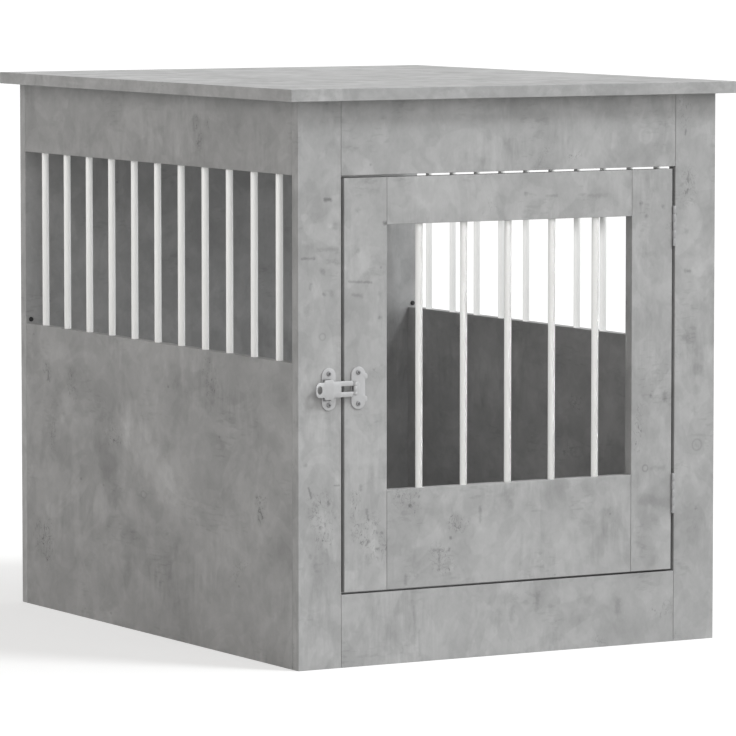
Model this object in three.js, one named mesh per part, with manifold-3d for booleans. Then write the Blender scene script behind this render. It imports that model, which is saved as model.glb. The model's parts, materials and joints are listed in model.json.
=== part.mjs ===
// A dog crate that doubles as an end table: a boarded box with barred sides, a barred
// front door on two butt hinges and a flip latch. Millimetres, +Z up, front towards -Y,
// origin on the floor under the middle of the table top.
import * as THREE from 'three';
import { mergeVertices } from 'three/addons/utils/BufferGeometryUtils.js';
import Module from 'manifold-3d';

const wasm = await Module();
wasm.setup();

// ---------------------------------------------------------------- driving dimensions

// Table top and boards
const TABLE_WIDTH = 645;
const TABLE_DEPTH = 800;
const TABLE_HEIGHT = 710;
const BOARD = 15;
const OVERHANG = 20;
const JOINT_GAP = 0.3;

// Front frame
const STILE_WIDTH = 60;
const FRONT_TOP_RAIL = 91.5;
const FRONT_BOTTOM_RAIL = 90;

// Sides and floor
const SIDE_TOP_RAIL = 90;
const SIDE_PANEL_HEIGHT = 376;
const FLOOR_TOP = 75;

// Door
const DOOR_SIDE_GAP = 4.5;
const DOOR_TOP_GAP = 3.2;
const DOOR_BOTTOM_GAP = 2.7;
const DOOR_STILE = 60;
const DOOR_TOP_RAIL = 58;
const DOOR_BOTTOM_RAIL = 123;

// Bars
const BAR_DIAMETER = 9;
const BAR_SEAT = 12;
const BAR_FIT = 0.2;
const BAR_END_GAP = 0.3;
const SIDE_BARS = 11;
const SIDE_BAR_END = 45;
const DOOR_BARS = 5;
const DOOR_BAR_END = 50;

// Butt hinges
const HINGE_LENGTH = 51;
const HINGE_FROM_DOOR_TOP = 72;
const HINGE_FROM_DOOR_BOTTOM = 96.5;
const HINGE_KNUCKLES = 5;
const KNUCKLE_RADIUS = 2.1;
const KNUCKLE_PROUD = 1;
const KNUCKLE_GAP = 0.3;
const HINGE_PIN_RADIUS = 1.1;
const PIN_FIT = 0.12;
const LEAF_THICKNESS = 1.4;
const LEAF_BACK_INSET = 2;

// Latch
const LATCH_HEIGHT = 343.6;
const PLATE_THICKNESS = 1.5;
const PLATE_HEIGHT = 52;
const PLATE_CORNER = 8.5;
const FRAME_PLATE_WIDTH = 21;
const FRAME_PLATE_INSET = 7.4;
const DOOR_PLATE_WIDTH = 22.6;
const DOOR_PLATE_INSET = 9.2;
const DOOR_SCREW_OFFSET = 1.5;
const BARREL_RADIUS = 3.2;
const BARREL_SEAT_GAP = 0.3;
const BARREL_HEIGHT = 15.2;
const LATCH_PIN_RADIUS = 1.4;
const LATCH_PIN_HEAD = 0.8;
const LATCH_PIN_HEAD_RADIUS = 2.2;
const LATCH_PIN_HEAD_FLAT = 1.5;
const STUD_RADIUS = 3.6;
const STUD_HEIGHT = 5;
const STUD_CLEARANCE = 0.3;
const ARM_THICKNESS = 1.6;
const SLOT_HEIGHT = 6.8;
const SLOT_LENGTH = 18;
const HEAD_WIDTH = 20;
const HEAD_HEIGHT = 25;
const TAB_LENGTH = 12;
const TAB_HEIGHT = 18;
const TAB_RISE = 4.5;
const ARM_CORNER = 4.2;
const LEG_SPLAY = 1;
const DOME_RADIUS = 4;
const DOME_RISE = 1.2;

// Screws of the latch plates
const SCREW_SPACING = 38.4;
const SCREW_RADIUS = 1.5;
const SCREW_LENGTH = 13;
const SCREW_HEAD_RADIUS = 3.2;
const SCREW_HEAD_HEIGHT = 1.5;
const SCREW_HEAD_RIM = 0.7;
const SCREW_HEAD_FLAT = 2.2;
const SCREW_TIP_RADIUS = 0.4;
const SCREW_TIP_LENGTH = 3;
const SCREW_FIT = 0.15;

// Pins in the back wall above the side panels
const WALL_PIN_RADIUS = 3;
const WALL_PIN_RISE = 5;
const WALL_PIN_PROUD = 1.5;
const WALL_PIN_SEAT = 8;

// Facets of the round shapes
const ROUND = 24;
const FINE_ROUND = 32;

// How far a cutting shape runs past a face, and how deep joined shapes sink together
const PAST = 1;
const SINK = 0.5;

// ---------------------------------------------------------------- places worked out

const halfWidth = TABLE_WIDTH / 2 - OVERHANG;
const halfDepth = TABLE_DEPTH / 2 - OVERHANG;
const bodyTop = TABLE_HEIGHT - BOARD;
const frontFace = -halfDepth;
const frontInside = frontFace + BOARD;
const backInside = halfDepth - BOARD;
const sideInside = halfWidth - BOARD;
const sideMiddle = halfWidth - BOARD / 2;
const doorwayHalf = halfWidth - STILE_WIDTH;
const doorHalf = doorwayHalf - DOOR_SIDE_GAP;
const doorBottom = FRONT_BOTTOM_RAIL + DOOR_BOTTOM_GAP;
const doorTop = bodyTop - FRONT_TOP_RAIL - DOOR_TOP_GAP;
const windowHalf = doorHalf - DOOR_STILE;
const windowBottom = doorBottom + DOOR_BOTTOM_RAIL;
const windowTop = doorTop - DOOR_TOP_RAIL;
const doorMiddle = frontFace + BOARD / 2;
const sideOpeningTop = bodyTop - SIDE_TOP_RAIL;
const barRadius = BAR_DIAMETER / 2;

const hingeX = doorwayHalf - DOOR_SIDE_GAP / 2;
const hingeY = frontFace - KNUCKLE_PROUD;
const hingeCentres = {
  top: doorTop - HINGE_FROM_DOOR_TOP,
  bottom: doorBottom + HINGE_FROM_DOOR_BOTTOM,
};

const plateFront = frontFace - PLATE_THICKNESS;
const framePlateX = -doorwayHalf - FRAME_PLATE_INSET - FRAME_PLATE_WIDTH / 2;
const doorPlateX = -doorHalf + DOOR_PLATE_INSET + DOOR_PLATE_WIDTH / 2;
const doorScrewX = doorPlateX - DOOR_SCREW_OFFSET;
const latchPinX = doorPlateX - DOOR_PLATE_WIDTH / 2 + BARREL_RADIUS;
const latchPinY = plateFront - BARREL_SEAT_GAP - BARREL_RADIUS;
const studTop = plateFront - STUD_HEIGHT;
const headBack = studTop - STUD_CLEARANCE;
const headFront = headBack - ARM_THICKNESS;

// ---------------------------------------------------------------- materials

/** A matt or metal finish with its own name. */
function finish(name, color, roughness, metalness) {
  return new THREE.MeshStandardMaterial({ name, color, roughness, metalness });
}

const concreteBoard = () => finish('concrete_board', 0xa3a5a7, 0.75, 0);
const paintedSteel = () => finish('white_steel', 0xdcdcd8, 0.4, 0.1);
const zinc = () => finish('zinc', 0xc9cbcb, 0.4, 0.85);
const darkPlastic = () => finish('dark_plastic', 0x17181a, 0.5, 0);

// ---------------------------------------------------------------- shape helpers

const crate = new THREE.Group();
crate.name = 'dog_crate_end_table';

/** Puts a finished geometry into the crate as one named piece. */
function addPiece(name, geometry, material) {
  const mesh = new THREE.Mesh(geometry, material);
  mesh.name = name;
  crate.add(mesh);
  return mesh;
}

/** A closed three.js geometry as a solid for cutting and joining. */
function toSolid(geometry) {
  const bare = new THREE.BufferGeometry();
  bare.setAttribute('position', geometry.getAttribute('position').clone());
  if (geometry.index) {
    bare.setIndex(geometry.index.clone());
  }
  const merged = mergeVertices(bare, 1e-5);
  return new wasm.Manifold(new wasm.Mesh({
    numProp: 3,
    vertProperties: new Float32Array(merged.getAttribute('position').array),
    triVerts: new Uint32Array(merged.index.array),
  }));
}

/** A solid back as a flat-shaded three.js geometry. */
function toGeometry(solid) {
  const mesh = solid.getMesh();
  const geometry = new THREE.BufferGeometry();
  geometry.setAttribute('position', new THREE.BufferAttribute(new Float32Array(mesh.vertProperties), 3));
  geometry.setIndex(new THREE.BufferAttribute(new Uint32Array(mesh.triVerts), 1));
  const flat = geometry.toNonIndexed();
  flat.computeVertexNormals();
  return flat;
}

/** Cuts every tool geometry out of a base geometry. */
function cut(base, tools) {
  return tools.reduce((solid, tool) => solid.subtract(toSolid(tool)), toSolid(base));
}

/** Joins geometries into one solid. */
function join(parts) {
  return parts.slice(1).reduce((solid, part) => solid.add(toSolid(part)), toSolid(parts[0]));
}

/** A box between two corners given as [low, high] pairs. */
function boxBetween(x, y, z) {
  const geometry = new THREE.BoxGeometry(x[1] - x[0], y[1] - y[0], z[1] - z[0]);
  geometry.translate((x[0] + x[1]) / 2, (y[0] + y[1]) / 2, (z[0] + z[1]) / 2);
  return geometry;
}

/** An upright cylinder between two heights. */
function upright(radius, x, y, z, facets = ROUND) {
  const geometry = new THREE.CylinderGeometry(radius, radius, z[1] - z[0], facets);
  geometry.rotateX(Math.PI / 2);
  geometry.translate(x, y, (z[0] + z[1]) / 2);
  return geometry;
}

/** A cylinder that runs front to back between two depths. */
function frontToBack(radius, x, y, z, facets = ROUND) {
  const geometry = new THREE.CylinderGeometry(radius, radius, y[1] - y[0], facets);
  geometry.translate(x, (y[0] + y[1]) / 2, z);
  return geometry;
}

/** Evenly spaced places from first to last. */
function spread(first, last, count) {
  return Array.from({ length: count }, (_, i) => first + ((last - first) * i) / (count - 1));
}

/** Adds a board between two corners, with holes for what is set into it. */
function addBoard(name, x, y, z, holes = []) {
  const board = boxBetween(x, y, z);
  addPiece(name, holes.length ? toGeometry(cut(board, holes)) : board, concreteBoard());
}

/** An outline in X and Z, as wide as [low, high] in Y. */
function extrudeOutline(shape, y, curveSegments = 8) {
  const geometry = new THREE.ExtrudeGeometry(shape, {
    depth: y[1] - y[0],
    bevelEnabled: false,
    curveSegments,
  });
  geometry.rotateX(Math.PI / 2);
  geometry.translate(0, y[1], 0);
  return geometry;
}

/** A rectangle with round corners about a centre. */
function roundedRectangle(cx, cz, width, height, radius) {
  const left = cx - width / 2;
  const right = cx + width / 2;
  const low = cz - height / 2;
  const high = cz + height / 2;
  const shape = new THREE.Shape();
  shape.moveTo(left + radius, low);
  shape.lineTo(right - radius, low);
  shape.absarc(right - radius, low + radius, radius, -Math.PI / 2, 0, false);
  shape.lineTo(right, high - radius);
  shape.absarc(right - radius, high - radius, radius, 0, Math.PI / 2, false);
  shape.lineTo(left + radius, high);
  shape.absarc(left + radius, high - radius, radius, Math.PI / 2, Math.PI, false);
  shape.lineTo(left, low + radius);
  shape.absarc(left + radius, low + radius, radius, Math.PI, Math.PI * 1.5, false);
  return shape;
}

// ---------------------------------------------------------------- bars and their seats

const barSeatRadius = barRadius + BAR_FIT;
const barReach = BAR_SEAT - BAR_END_GAP;
const sideBarYs = spread(frontInside + SIDE_BAR_END, backInside - SIDE_BAR_END, SIDE_BARS);
const doorBarXs = spread(-windowHalf + DOOR_BAR_END, windowHalf - DOOR_BAR_END, DOOR_BARS);

/** Blind holes for bars in a board edge at height z; up is 1 where they go up into it. */
function barSeats(places, z, up) {
  const span = up > 0 ? [z - PAST, z + BAR_SEAT] : [z - BAR_SEAT, z + PAST];
  return places.map(([x, y]) => upright(barSeatRadius, x, y, span));
}

/** Round bars between two board edges, their ends in the seats. */
function addBars(prefix, places, low, high) {
  places.forEach(([x, y], i) => {
    const bar = upright(barRadius, x, y, [low - barReach, high + barReach]);
    addPiece(`${prefix}_${i + 1}`, bar, paintedSteel());
  });
}

// ---------------------------------------------------------------- screws

/** A pan-head screw standing in a board, its head on the outside of a plate. */
function screwGeometry(x, z) {
  const profile = [
    new THREE.Vector2(0, -SCREW_LENGTH),
    new THREE.Vector2(SCREW_TIP_RADIUS, -SCREW_LENGTH),
    new THREE.Vector2(SCREW_RADIUS, -SCREW_LENGTH + SCREW_TIP_LENGTH),
    new THREE.Vector2(SCREW_RADIUS, 0),
    new THREE.Vector2(SCREW_HEAD_RADIUS, 0),
    new THREE.Vector2(SCREW_HEAD_RADIUS, SCREW_HEAD_RIM),
    new THREE.Vector2(SCREW_HEAD_FLAT, SCREW_HEAD_HEIGHT),
    new THREE.Vector2(0, SCREW_HEAD_HEIGHT),
  ];
  const geometry = new THREE.LatheGeometry(profile, ROUND);
  geometry.rotateX(Math.PI);
  geometry.translate(x, plateFront, z);
  return geometry;
}

/** The hole a plate screw needs in a board or a plate. */
function screwHole(x, z) {
  const span = [plateFront - PAST, plateFront + SCREW_LENGTH + PAST];
  return frontToBack(SCREW_RADIUS + SCREW_FIT, x, span, z);
}

const screwHeights = {
  top: LATCH_HEIGHT + SCREW_SPACING / 2,
  bottom: LATCH_HEIGHT - SCREW_SPACING / 2,
};

/** Both screw holes of a plate at one X. */
function screwHoles(x) {
  return Object.values(screwHeights).map((z) => screwHole(x, z));
}

// ---------------------------------------------------------------- table top and body

const topX = [-TABLE_WIDTH / 2, TABLE_WIDTH / 2];
const topY = [-TABLE_DEPTH / 2, TABLE_DEPTH / 2];
const wallPinZ = SIDE_PANEL_HEIGHT + WALL_PIN_RISE;
const wallPinSeats = [-sideMiddle, sideMiddle].map((x) => (
  frontToBack(WALL_PIN_RADIUS + PIN_FIT, x, [backInside - PAST, backInside + WALL_PIN_SEAT], wallPinZ)
));

addBoard('top_board', topX, topY, [bodyTop, TABLE_HEIGHT]);
addBoard('back_panel', [-halfWidth, halfWidth], [backInside, halfDepth], [0, bodyTop], wallPinSeats);

/** A pin in the back wall, just above the edge of a side panel. */
function wallPin(x) {
  const span = [backInside - WALL_PIN_PROUD, backInside + WALL_PIN_SEAT - JOINT_GAP];
  return frontToBack(WALL_PIN_RADIUS, x, span, wallPinZ);
}

for (const [side, sign] of [['left', -1], ['right', 1]]) {
  const x = [sign * sideInside, sign * halfWidth].sort((a, b) => a - b);
  const y = [frontInside + JOINT_GAP, backInside - JOINT_GAP];
  const places = sideBarYs.map((barY) => [sign * sideMiddle, barY]);
  const railSeats = barSeats(places, sideOpeningTop, 1);
  const panelSeats = barSeats(places, SIDE_PANEL_HEIGHT, -1);
  addBoard(`${side}_top_rail`, x, y, [sideOpeningTop, bodyTop], railSeats);
  addBoard(`${side}_panel`, x, y, [0, SIDE_PANEL_HEIGHT], panelSeats);
  addBars(`${side}_bar`, places, SIDE_PANEL_HEIGHT, sideOpeningTop);
  addPiece(`back_pin_${side}`, wallPin(sign * sideMiddle), darkPlastic());
}

const floorX = [-sideInside + JOINT_GAP, sideInside - JOINT_GAP];
const floorY = [frontInside + JOINT_GAP, backInside - JOINT_GAP];

addBoard('floor_panel', floorX, floorY, [FLOOR_TOP - BOARD, FLOOR_TOP]);

// ---------------------------------------------------------------- front frame

const frontY = [frontFace, frontInside];
const frontRailX = [-doorwayHalf + JOINT_GAP, doorwayHalf - JOINT_GAP];

addBoard('front_left_stile', [-halfWidth, -doorwayHalf], frontY, [0, bodyTop], screwHoles(framePlateX));
addBoard('front_right_stile', [doorwayHalf, halfWidth], frontY, [0, bodyTop]);
addBoard('front_top_rail', frontRailX, frontY, [bodyTop - FRONT_TOP_RAIL, bodyTop]);
addBoard('front_bottom_rail', frontRailX, frontY, [0, FRONT_BOTTOM_RAIL]);

// ---------------------------------------------------------------- door

const doorHeight = [doorBottom, doorTop];
const doorRailX = [-windowHalf + JOINT_GAP, windowHalf - JOINT_GAP];
const doorBarPlaces = doorBarXs.map((x) => [x, doorMiddle]);
const topRailSeats = barSeats(doorBarPlaces, windowTop, 1);
const bottomRailSeats = barSeats(doorBarPlaces, windowBottom, -1);

addBoard('door_left_stile', [-doorHalf, -windowHalf], frontY, doorHeight, screwHoles(doorScrewX));
addBoard('door_right_stile', [windowHalf, doorHalf], frontY, doorHeight);
addBoard('door_top_rail', doorRailX, frontY, [windowTop, doorTop], topRailSeats);
addBoard('door_bottom_rail', doorRailX, frontY, [doorBottom, windowBottom], bottomRailSeats);
addBars('door_bar', doorBarPlaces, windowBottom, windowTop);

// ---------------------------------------------------------------- butt hinges

const leafReach = DOOR_SIDE_GAP / 2;
const leafBack = hingeY + KNUCKLE_PROUD + BOARD - LEAF_BACK_INSET;
const leafFront = hingeY + KNUCKLE_RADIUS + KNUCKLE_GAP;
const knucklePitch = HINGE_LENGTH / HINGE_KNUCKLES;

/** The height span of one knuckle of a hinge, lowest first. */
function knuckleSpan(centre, index) {
  const low = centre - HINGE_LENGTH / 2 + index * knucklePitch;
  const lowGap = index === 0 ? 0 : KNUCKLE_GAP / 2;
  const highGap = index === HINGE_KNUCKLES - 1 ? 0 : KNUCKLE_GAP / 2;
  return [low + lowGap, low + knucklePitch - highGap];
}

/** One leaf: a plate on a board edge, with every other knuckle round the pin. */
function hingeLeaf(centre, side, firstKnuckle) {
  const plateX = [hingeX + side * (leafReach - LEAF_THICKNESS), hingeX + side * leafReach];
  plateX.sort((a, b) => a - b);
  const plateZ = [centre - HINGE_LENGTH / 2, centre + HINGE_LENGTH / 2];
  const parts = [boxBetween(plateX, [leafFront, leafBack], plateZ)];
  for (let i = firstKnuckle; i < HINGE_KNUCKLES; i += 2) {
    const span = knuckleSpan(centre, i);
    parts.push(boxBetween(plateX, [hingeY, leafFront + SINK], span));
    parts.push(upright(KNUCKLE_RADIUS, hingeX, hingeY, span));
  }
  const bore = upright(HINGE_PIN_RADIUS + PIN_FIT, hingeX, hingeY, [plateZ[0] - PAST, plateZ[1] + PAST]);
  return toGeometry(join(parts).subtract(toSolid(bore)));
}

for (const [place, centre] of Object.entries(hingeCentres)) {
  const pinZ = [centre - HINGE_LENGTH / 2, centre + HINGE_LENGTH / 2];
  addPiece(`hinge_${place}_frame_leaf`, hingeLeaf(centre, 1, 0), zinc());
  addPiece(`hinge_${place}_door_leaf`, hingeLeaf(centre, -1, 1), zinc());
  addPiece(`hinge_${place}_pin`, upright(HINGE_PIN_RADIUS, hingeX, hingeY, pinZ), zinc());
}

// ---------------------------------------------------------------- latch

const knuckleHeight = SLOT_HEIGHT - 2 * KNUCKLE_GAP;
const plateY = [plateFront, frontFace];

/** The plate on the frame, with the stud that the arm snaps over. */
function latchFramePlate() {
  const outline = roundedRectangle(
    framePlateX,
    LATCH_HEIGHT,
    FRAME_PLATE_WIDTH,
    PLATE_HEIGHT,
    PLATE_CORNER,
  );
  const plate = extrudeOutline(outline, plateY);
  const stud = frontToBack(STUD_RADIUS, framePlateX, [studTop, plateFront + SINK], LATCH_HEIGHT);
  const holes = screwHoles(framePlateX).map(toSolid);
  return toGeometry(holes.reduce((solid, hole) => solid.subtract(hole), join([plate, stud])));
}

/** The plate on the door, with the knuckle that holds the latch pin. */
function latchDoorPlate() {
  const outline = roundedRectangle(
    doorPlateX,
    LATCH_HEIGHT,
    DOOR_PLATE_WIDTH,
    PLATE_HEIGHT,
    PLATE_CORNER,
  );
  const span = [LATCH_HEIGHT - knuckleHeight / 2, LATCH_HEIGHT + knuckleHeight / 2];
  const plate = extrudeOutline(outline, plateY);
  const knuckle = upright(BARREL_RADIUS, latchPinX, latchPinY, span, FINE_ROUND);
  const web = boxBetween([latchPinX, latchPinX + BARREL_RADIUS], [latchPinY, plateFront + SINK], span);
  const bore = upright(LATCH_PIN_RADIUS + PIN_FIT, latchPinX, latchPinY, [span[0] - PAST, span[1] + PAST]);
  const tools = [bore, ...screwHoles(doorScrewX)].map(toSolid);
  return toGeometry(tools.reduce((solid, tool) => solid.subtract(tool), join([plate, knuckle, web])));
}

/** The latch pin, headed at both ends of the barrel. */
function latchPin() {
  const half = BARREL_HEIGHT / 2 + PIN_FIT;
  const profile = [
    new THREE.Vector2(0, -half - LATCH_PIN_HEAD),
    new THREE.Vector2(LATCH_PIN_HEAD_FLAT, -half - LATCH_PIN_HEAD),
    new THREE.Vector2(LATCH_PIN_HEAD_RADIUS, -half),
    new THREE.Vector2(LATCH_PIN_RADIUS, -half),
    new THREE.Vector2(LATCH_PIN_RADIUS, half),
    new THREE.Vector2(LATCH_PIN_HEAD_RADIUS, half),
    new THREE.Vector2(LATCH_PIN_HEAD_FLAT, half + LATCH_PIN_HEAD),
    new THREE.Vector2(0, half + LATCH_PIN_HEAD),
  ];
  const geometry = new THREE.LatheGeometry(profile, ROUND);
  geometry.rotateX(Math.PI / 2);
  geometry.translate(latchPinX, latchPinY, LATCH_HEIGHT);
  return geometry;
}

const headRight = framePlateX + HEAD_WIDTH / 2;
const headLeft = framePlateX - HEAD_WIDTH / 2;
const tabLeft = headLeft - TAB_LENGTH;

/** The arm seen from the front: two legs, a broad head and a finger tab. */
function armOutline() {
  const barrelHalf = BARREL_HEIGHT / 2;
  const headHalf = HEAD_HEIGHT / 2;
  const tabHalf = TAB_HEIGHT / 2;
  const corner = ARM_CORNER;
  const neck = headRight + corner;
  const shape = new THREE.Shape();
  shape.moveTo(latchPinX, LATCH_HEIGHT - barrelHalf);
  shape.lineTo(latchPinX, LATCH_HEIGHT + barrelHalf);
  shape.lineTo(neck, LATCH_HEIGHT + barrelHalf + LEG_SPLAY);
  shape.quadraticCurveTo(headRight, LATCH_HEIGHT + headHalf, headRight - corner, LATCH_HEIGHT + headHalf);
  shape.lineTo(headLeft + corner, LATCH_HEIGHT + headHalf);
  shape.quadraticCurveTo(headLeft, LATCH_HEIGHT + headHalf, headLeft, LATCH_HEIGHT + tabHalf);
  shape.lineTo(tabLeft + corner, LATCH_HEIGHT + tabHalf);
  shape.quadraticCurveTo(tabLeft, LATCH_HEIGHT + tabHalf, tabLeft, LATCH_HEIGHT + tabHalf - corner);
  shape.lineTo(tabLeft, LATCH_HEIGHT - tabHalf + corner);
  shape.quadraticCurveTo(tabLeft, LATCH_HEIGHT - tabHalf, tabLeft + corner, LATCH_HEIGHT - tabHalf);
  shape.lineTo(headLeft, LATCH_HEIGHT - tabHalf);
  shape.quadraticCurveTo(headLeft, LATCH_HEIGHT - headHalf, headLeft + corner, LATCH_HEIGHT - headHalf);
  shape.lineTo(headRight - corner, LATCH_HEIGHT - headHalf);
  shape.quadraticCurveTo(headRight, LATCH_HEIGHT - headHalf, neck, LATCH_HEIGHT - barrelHalf - LEG_SPLAY);
  shape.closePath();
  return shape;
}

/** The arm seen from above: a strip that climbs to the head and turns out at the tab. */
function armProfile(z) {
  const shape = new THREE.Shape();
  const rootBack = latchPinY + ARM_THICKNESS / 2;
  const rootFront = latchPinY - ARM_THICKNESS / 2;
  shape.moveTo(latchPinX, rootBack);
  shape.lineTo(headRight, headBack);
  shape.lineTo(headLeft, headBack);
  shape.quadraticCurveTo(headLeft - TAB_LENGTH / 2, headBack, tabLeft - PAST, headBack - TAB_RISE);
  shape.lineTo(tabLeft - PAST, headFront - TAB_RISE);
  shape.quadraticCurveTo(headLeft - TAB_LENGTH / 2, headFront, headLeft, headFront);
  shape.lineTo(headRight, headFront);
  shape.lineTo(latchPinX, rootFront);
  shape.closePath();
  const geometry = new THREE.ExtrudeGeometry(shape, {
    depth: z[1] - z[0],
    bevelEnabled: false,
    curveSegments: 6,
  });
  geometry.translate(0, 0, z[0]);
  return geometry;
}

/** The thumb dome on the head. */
function thumbDome() {
  const sphereRadius = (DOME_RADIUS ** 2 + DOME_RISE ** 2) / (2 * DOME_RISE);
  const centreY = headFront - DOME_RISE + sphereRadius;
  const ball = new THREE.SphereGeometry(sphereRadius, ROUND, ROUND);
  ball.translate(headLeft, centreY, LATCH_HEIGHT);
  const keep = boxBetween(
    [headLeft - DOME_RADIUS * 2, headLeft + DOME_RADIUS * 2],
    [headFront - DOME_RISE * 2, headFront + ARM_THICKNESS / 2],
    [LATCH_HEIGHT - DOME_RADIUS * 2, LATCH_HEIGHT + DOME_RADIUS * 2],
  );
  return toSolid(ball).intersect(toSolid(keep));
}

/** The flip arm that rides on the latch pin. */
function latchArm() {
  const reach = [LATCH_HEIGHT - HEAD_HEIGHT, LATCH_HEIGHT + HEAD_HEIGHT];
  const barrelZ = [LATCH_HEIGHT - BARREL_HEIGHT / 2, LATCH_HEIGHT + BARREL_HEIGHT / 2];
  const slotZ = [LATCH_HEIGHT - SLOT_HEIGHT / 2, LATCH_HEIGHT + SLOT_HEIGHT / 2];
  const deep = [headFront - TAB_RISE - PAST, plateFront];
  const strip = toSolid(armProfile(reach)).intersect(toSolid(extrudeOutline(armOutline(), deep)));
  const barrel = toSolid(upright(BARREL_RADIUS, latchPinX, latchPinY, barrelZ, FINE_ROUND));
  const boreZ = [barrelZ[0] - PAST, barrelZ[1] + PAST];
  const bore = upright(LATCH_PIN_RADIUS + PIN_FIT, latchPinX, latchPinY, boreZ);
  const slotX = [latchPinX - BARREL_RADIUS - SLOT_LENGTH, latchPinX + BARREL_RADIUS + PAST];
  const slot = boxBetween(slotX, [deep[0], frontFace], slotZ);
  return toGeometry(strip.add(barrel).add(thumbDome()).subtract(toSolid(bore)).subtract(toSolid(slot)));
}

addPiece('latch_frame_plate', latchFramePlate(), zinc());
addPiece('latch_door_plate', latchDoorPlate(), zinc());
addPiece('latch_pin', latchPin(), zinc());
addPiece('latch_arm', latchArm(), zinc());

for (const [place, z] of Object.entries(screwHeights)) {
  addPiece(`frame_plate_screw_${place}`, screwGeometry(framePlateX, z), zinc());
  addPiece(`door_plate_screw_${place}`, screwGeometry(doorScrewX, z), zinc());
}

export default crate;
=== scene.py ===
"""Dog crate end table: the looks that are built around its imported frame.

Lengths are in metres in the frame's own axes: X to the right, Y to the back, Z up. A
length given in millimetres is written as a number times MM.
"""

import json
import logging
import math
from collections.abc import Callable, Iterable, Sequence
from dataclasses import dataclass
from enum import Enum

import bmesh
import bpy
from bmesh.types import BMesh
from mathutils import Euler, Matrix, Vector


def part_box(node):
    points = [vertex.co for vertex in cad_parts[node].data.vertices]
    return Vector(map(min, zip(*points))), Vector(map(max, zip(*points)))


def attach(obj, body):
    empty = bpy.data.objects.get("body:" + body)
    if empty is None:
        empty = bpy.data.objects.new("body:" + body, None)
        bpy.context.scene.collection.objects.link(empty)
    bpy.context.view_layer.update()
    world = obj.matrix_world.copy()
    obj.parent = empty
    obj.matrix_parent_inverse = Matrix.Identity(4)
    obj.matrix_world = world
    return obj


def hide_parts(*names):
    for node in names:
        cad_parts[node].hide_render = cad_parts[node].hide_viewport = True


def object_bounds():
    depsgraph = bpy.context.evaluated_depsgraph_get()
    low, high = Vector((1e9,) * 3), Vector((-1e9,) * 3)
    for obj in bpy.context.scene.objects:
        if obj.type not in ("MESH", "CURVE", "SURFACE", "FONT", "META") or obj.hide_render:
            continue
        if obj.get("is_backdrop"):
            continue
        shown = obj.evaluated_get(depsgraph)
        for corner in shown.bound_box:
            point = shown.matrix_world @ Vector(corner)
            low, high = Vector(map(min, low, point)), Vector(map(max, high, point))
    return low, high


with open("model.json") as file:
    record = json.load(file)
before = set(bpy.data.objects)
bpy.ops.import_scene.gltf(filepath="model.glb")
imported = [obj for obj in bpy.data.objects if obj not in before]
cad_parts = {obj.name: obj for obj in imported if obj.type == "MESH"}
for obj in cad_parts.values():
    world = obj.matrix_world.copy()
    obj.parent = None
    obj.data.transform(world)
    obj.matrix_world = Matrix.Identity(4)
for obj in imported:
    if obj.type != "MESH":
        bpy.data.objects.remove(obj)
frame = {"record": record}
cad_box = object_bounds()

LOG = logging.getLogger("dog_crate_end_table")
MM = 0.001
FINISHED = "_finished"
WELD = 1e-7
FUSE = 1e-6
SHARP_ANGLE = math.radians(38)

Colour = tuple[float, float, float]
Node = bpy.types.ShaderNode
Socket = bpy.types.NodeSocket
Profile = Sequence[tuple[float, float]]
Corner = tuple[float, float, float]

BODY_OF_NODE = {
    node: body
    for body, nodes in frame["record"]["behaviour"]["bodies"].items()
    for node in nodes
}


class Axis(Enum):
    """A direction of the frame, as an index and as a unit vector."""

    X = 0
    Y = 1
    Z = 2

    @property
    def vector(self) -> Vector:
        """The axis as a unit vector."""
        return Vector([float(i == self.value) for i in range(3)])


class Grain(Enum):
    """The way a board's streaks run, as the turn that brings them upright in the print."""

    UPRIGHT = (0.0, 0.0, 0.0)
    ACROSS = (0.0, -math.pi / 2, 0.0)
    DEEP = (math.pi / 2, 0.0, 0.0)


class Slot(Enum):
    """The material slots of the record."""

    LAMINATE = "concrete_laminate"
    STEEL = "bar_steel"
    ZINC = "zinc_metal"
    PLASTIC = "dark_plastic"


class Operation(Enum):
    """What becomes of two closed forms that overlap."""

    CUT = "DIFFERENCE"
    JOIN = "UNION"


# ---------------------------------------------------------------- forms


def block(low: Vector, high: Vector) -> BMesh:
    """Makes a box.

    Args:
        low: Its lowest corner.
        high: Its highest corner.

    Returns:
        The box as a form.
    """
    form = bmesh.new()
    place = Matrix.Translation((low + high) / 2) @ Matrix.Diagonal(high - low).to_4x4()
    bmesh.ops.create_cube(form, size=1.0, matrix=place)
    return form


def ease(form: BMesh, edges: Iterable[bmesh.types.BMEdge], radius: float, segments: int) -> None:
    """Rounds edges and shades the rounding smooth.

    Args:
        form: The form that holds the edges.
        edges: The edges to round.
        radius: How far the rounding reaches from each edge.
        segments: How many faces it has across.
    """
    made = bmesh.ops.bevel(
        form,
        geom=list(edges),
        offset=radius,
        offset_type="OFFSET",
        affect="EDGES",
        segments=segments,
        profile=0.5,
        material=-1,
        clamp_overlap=True,
    )
    for face in made["faces"]:
        face.smooth = True


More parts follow.
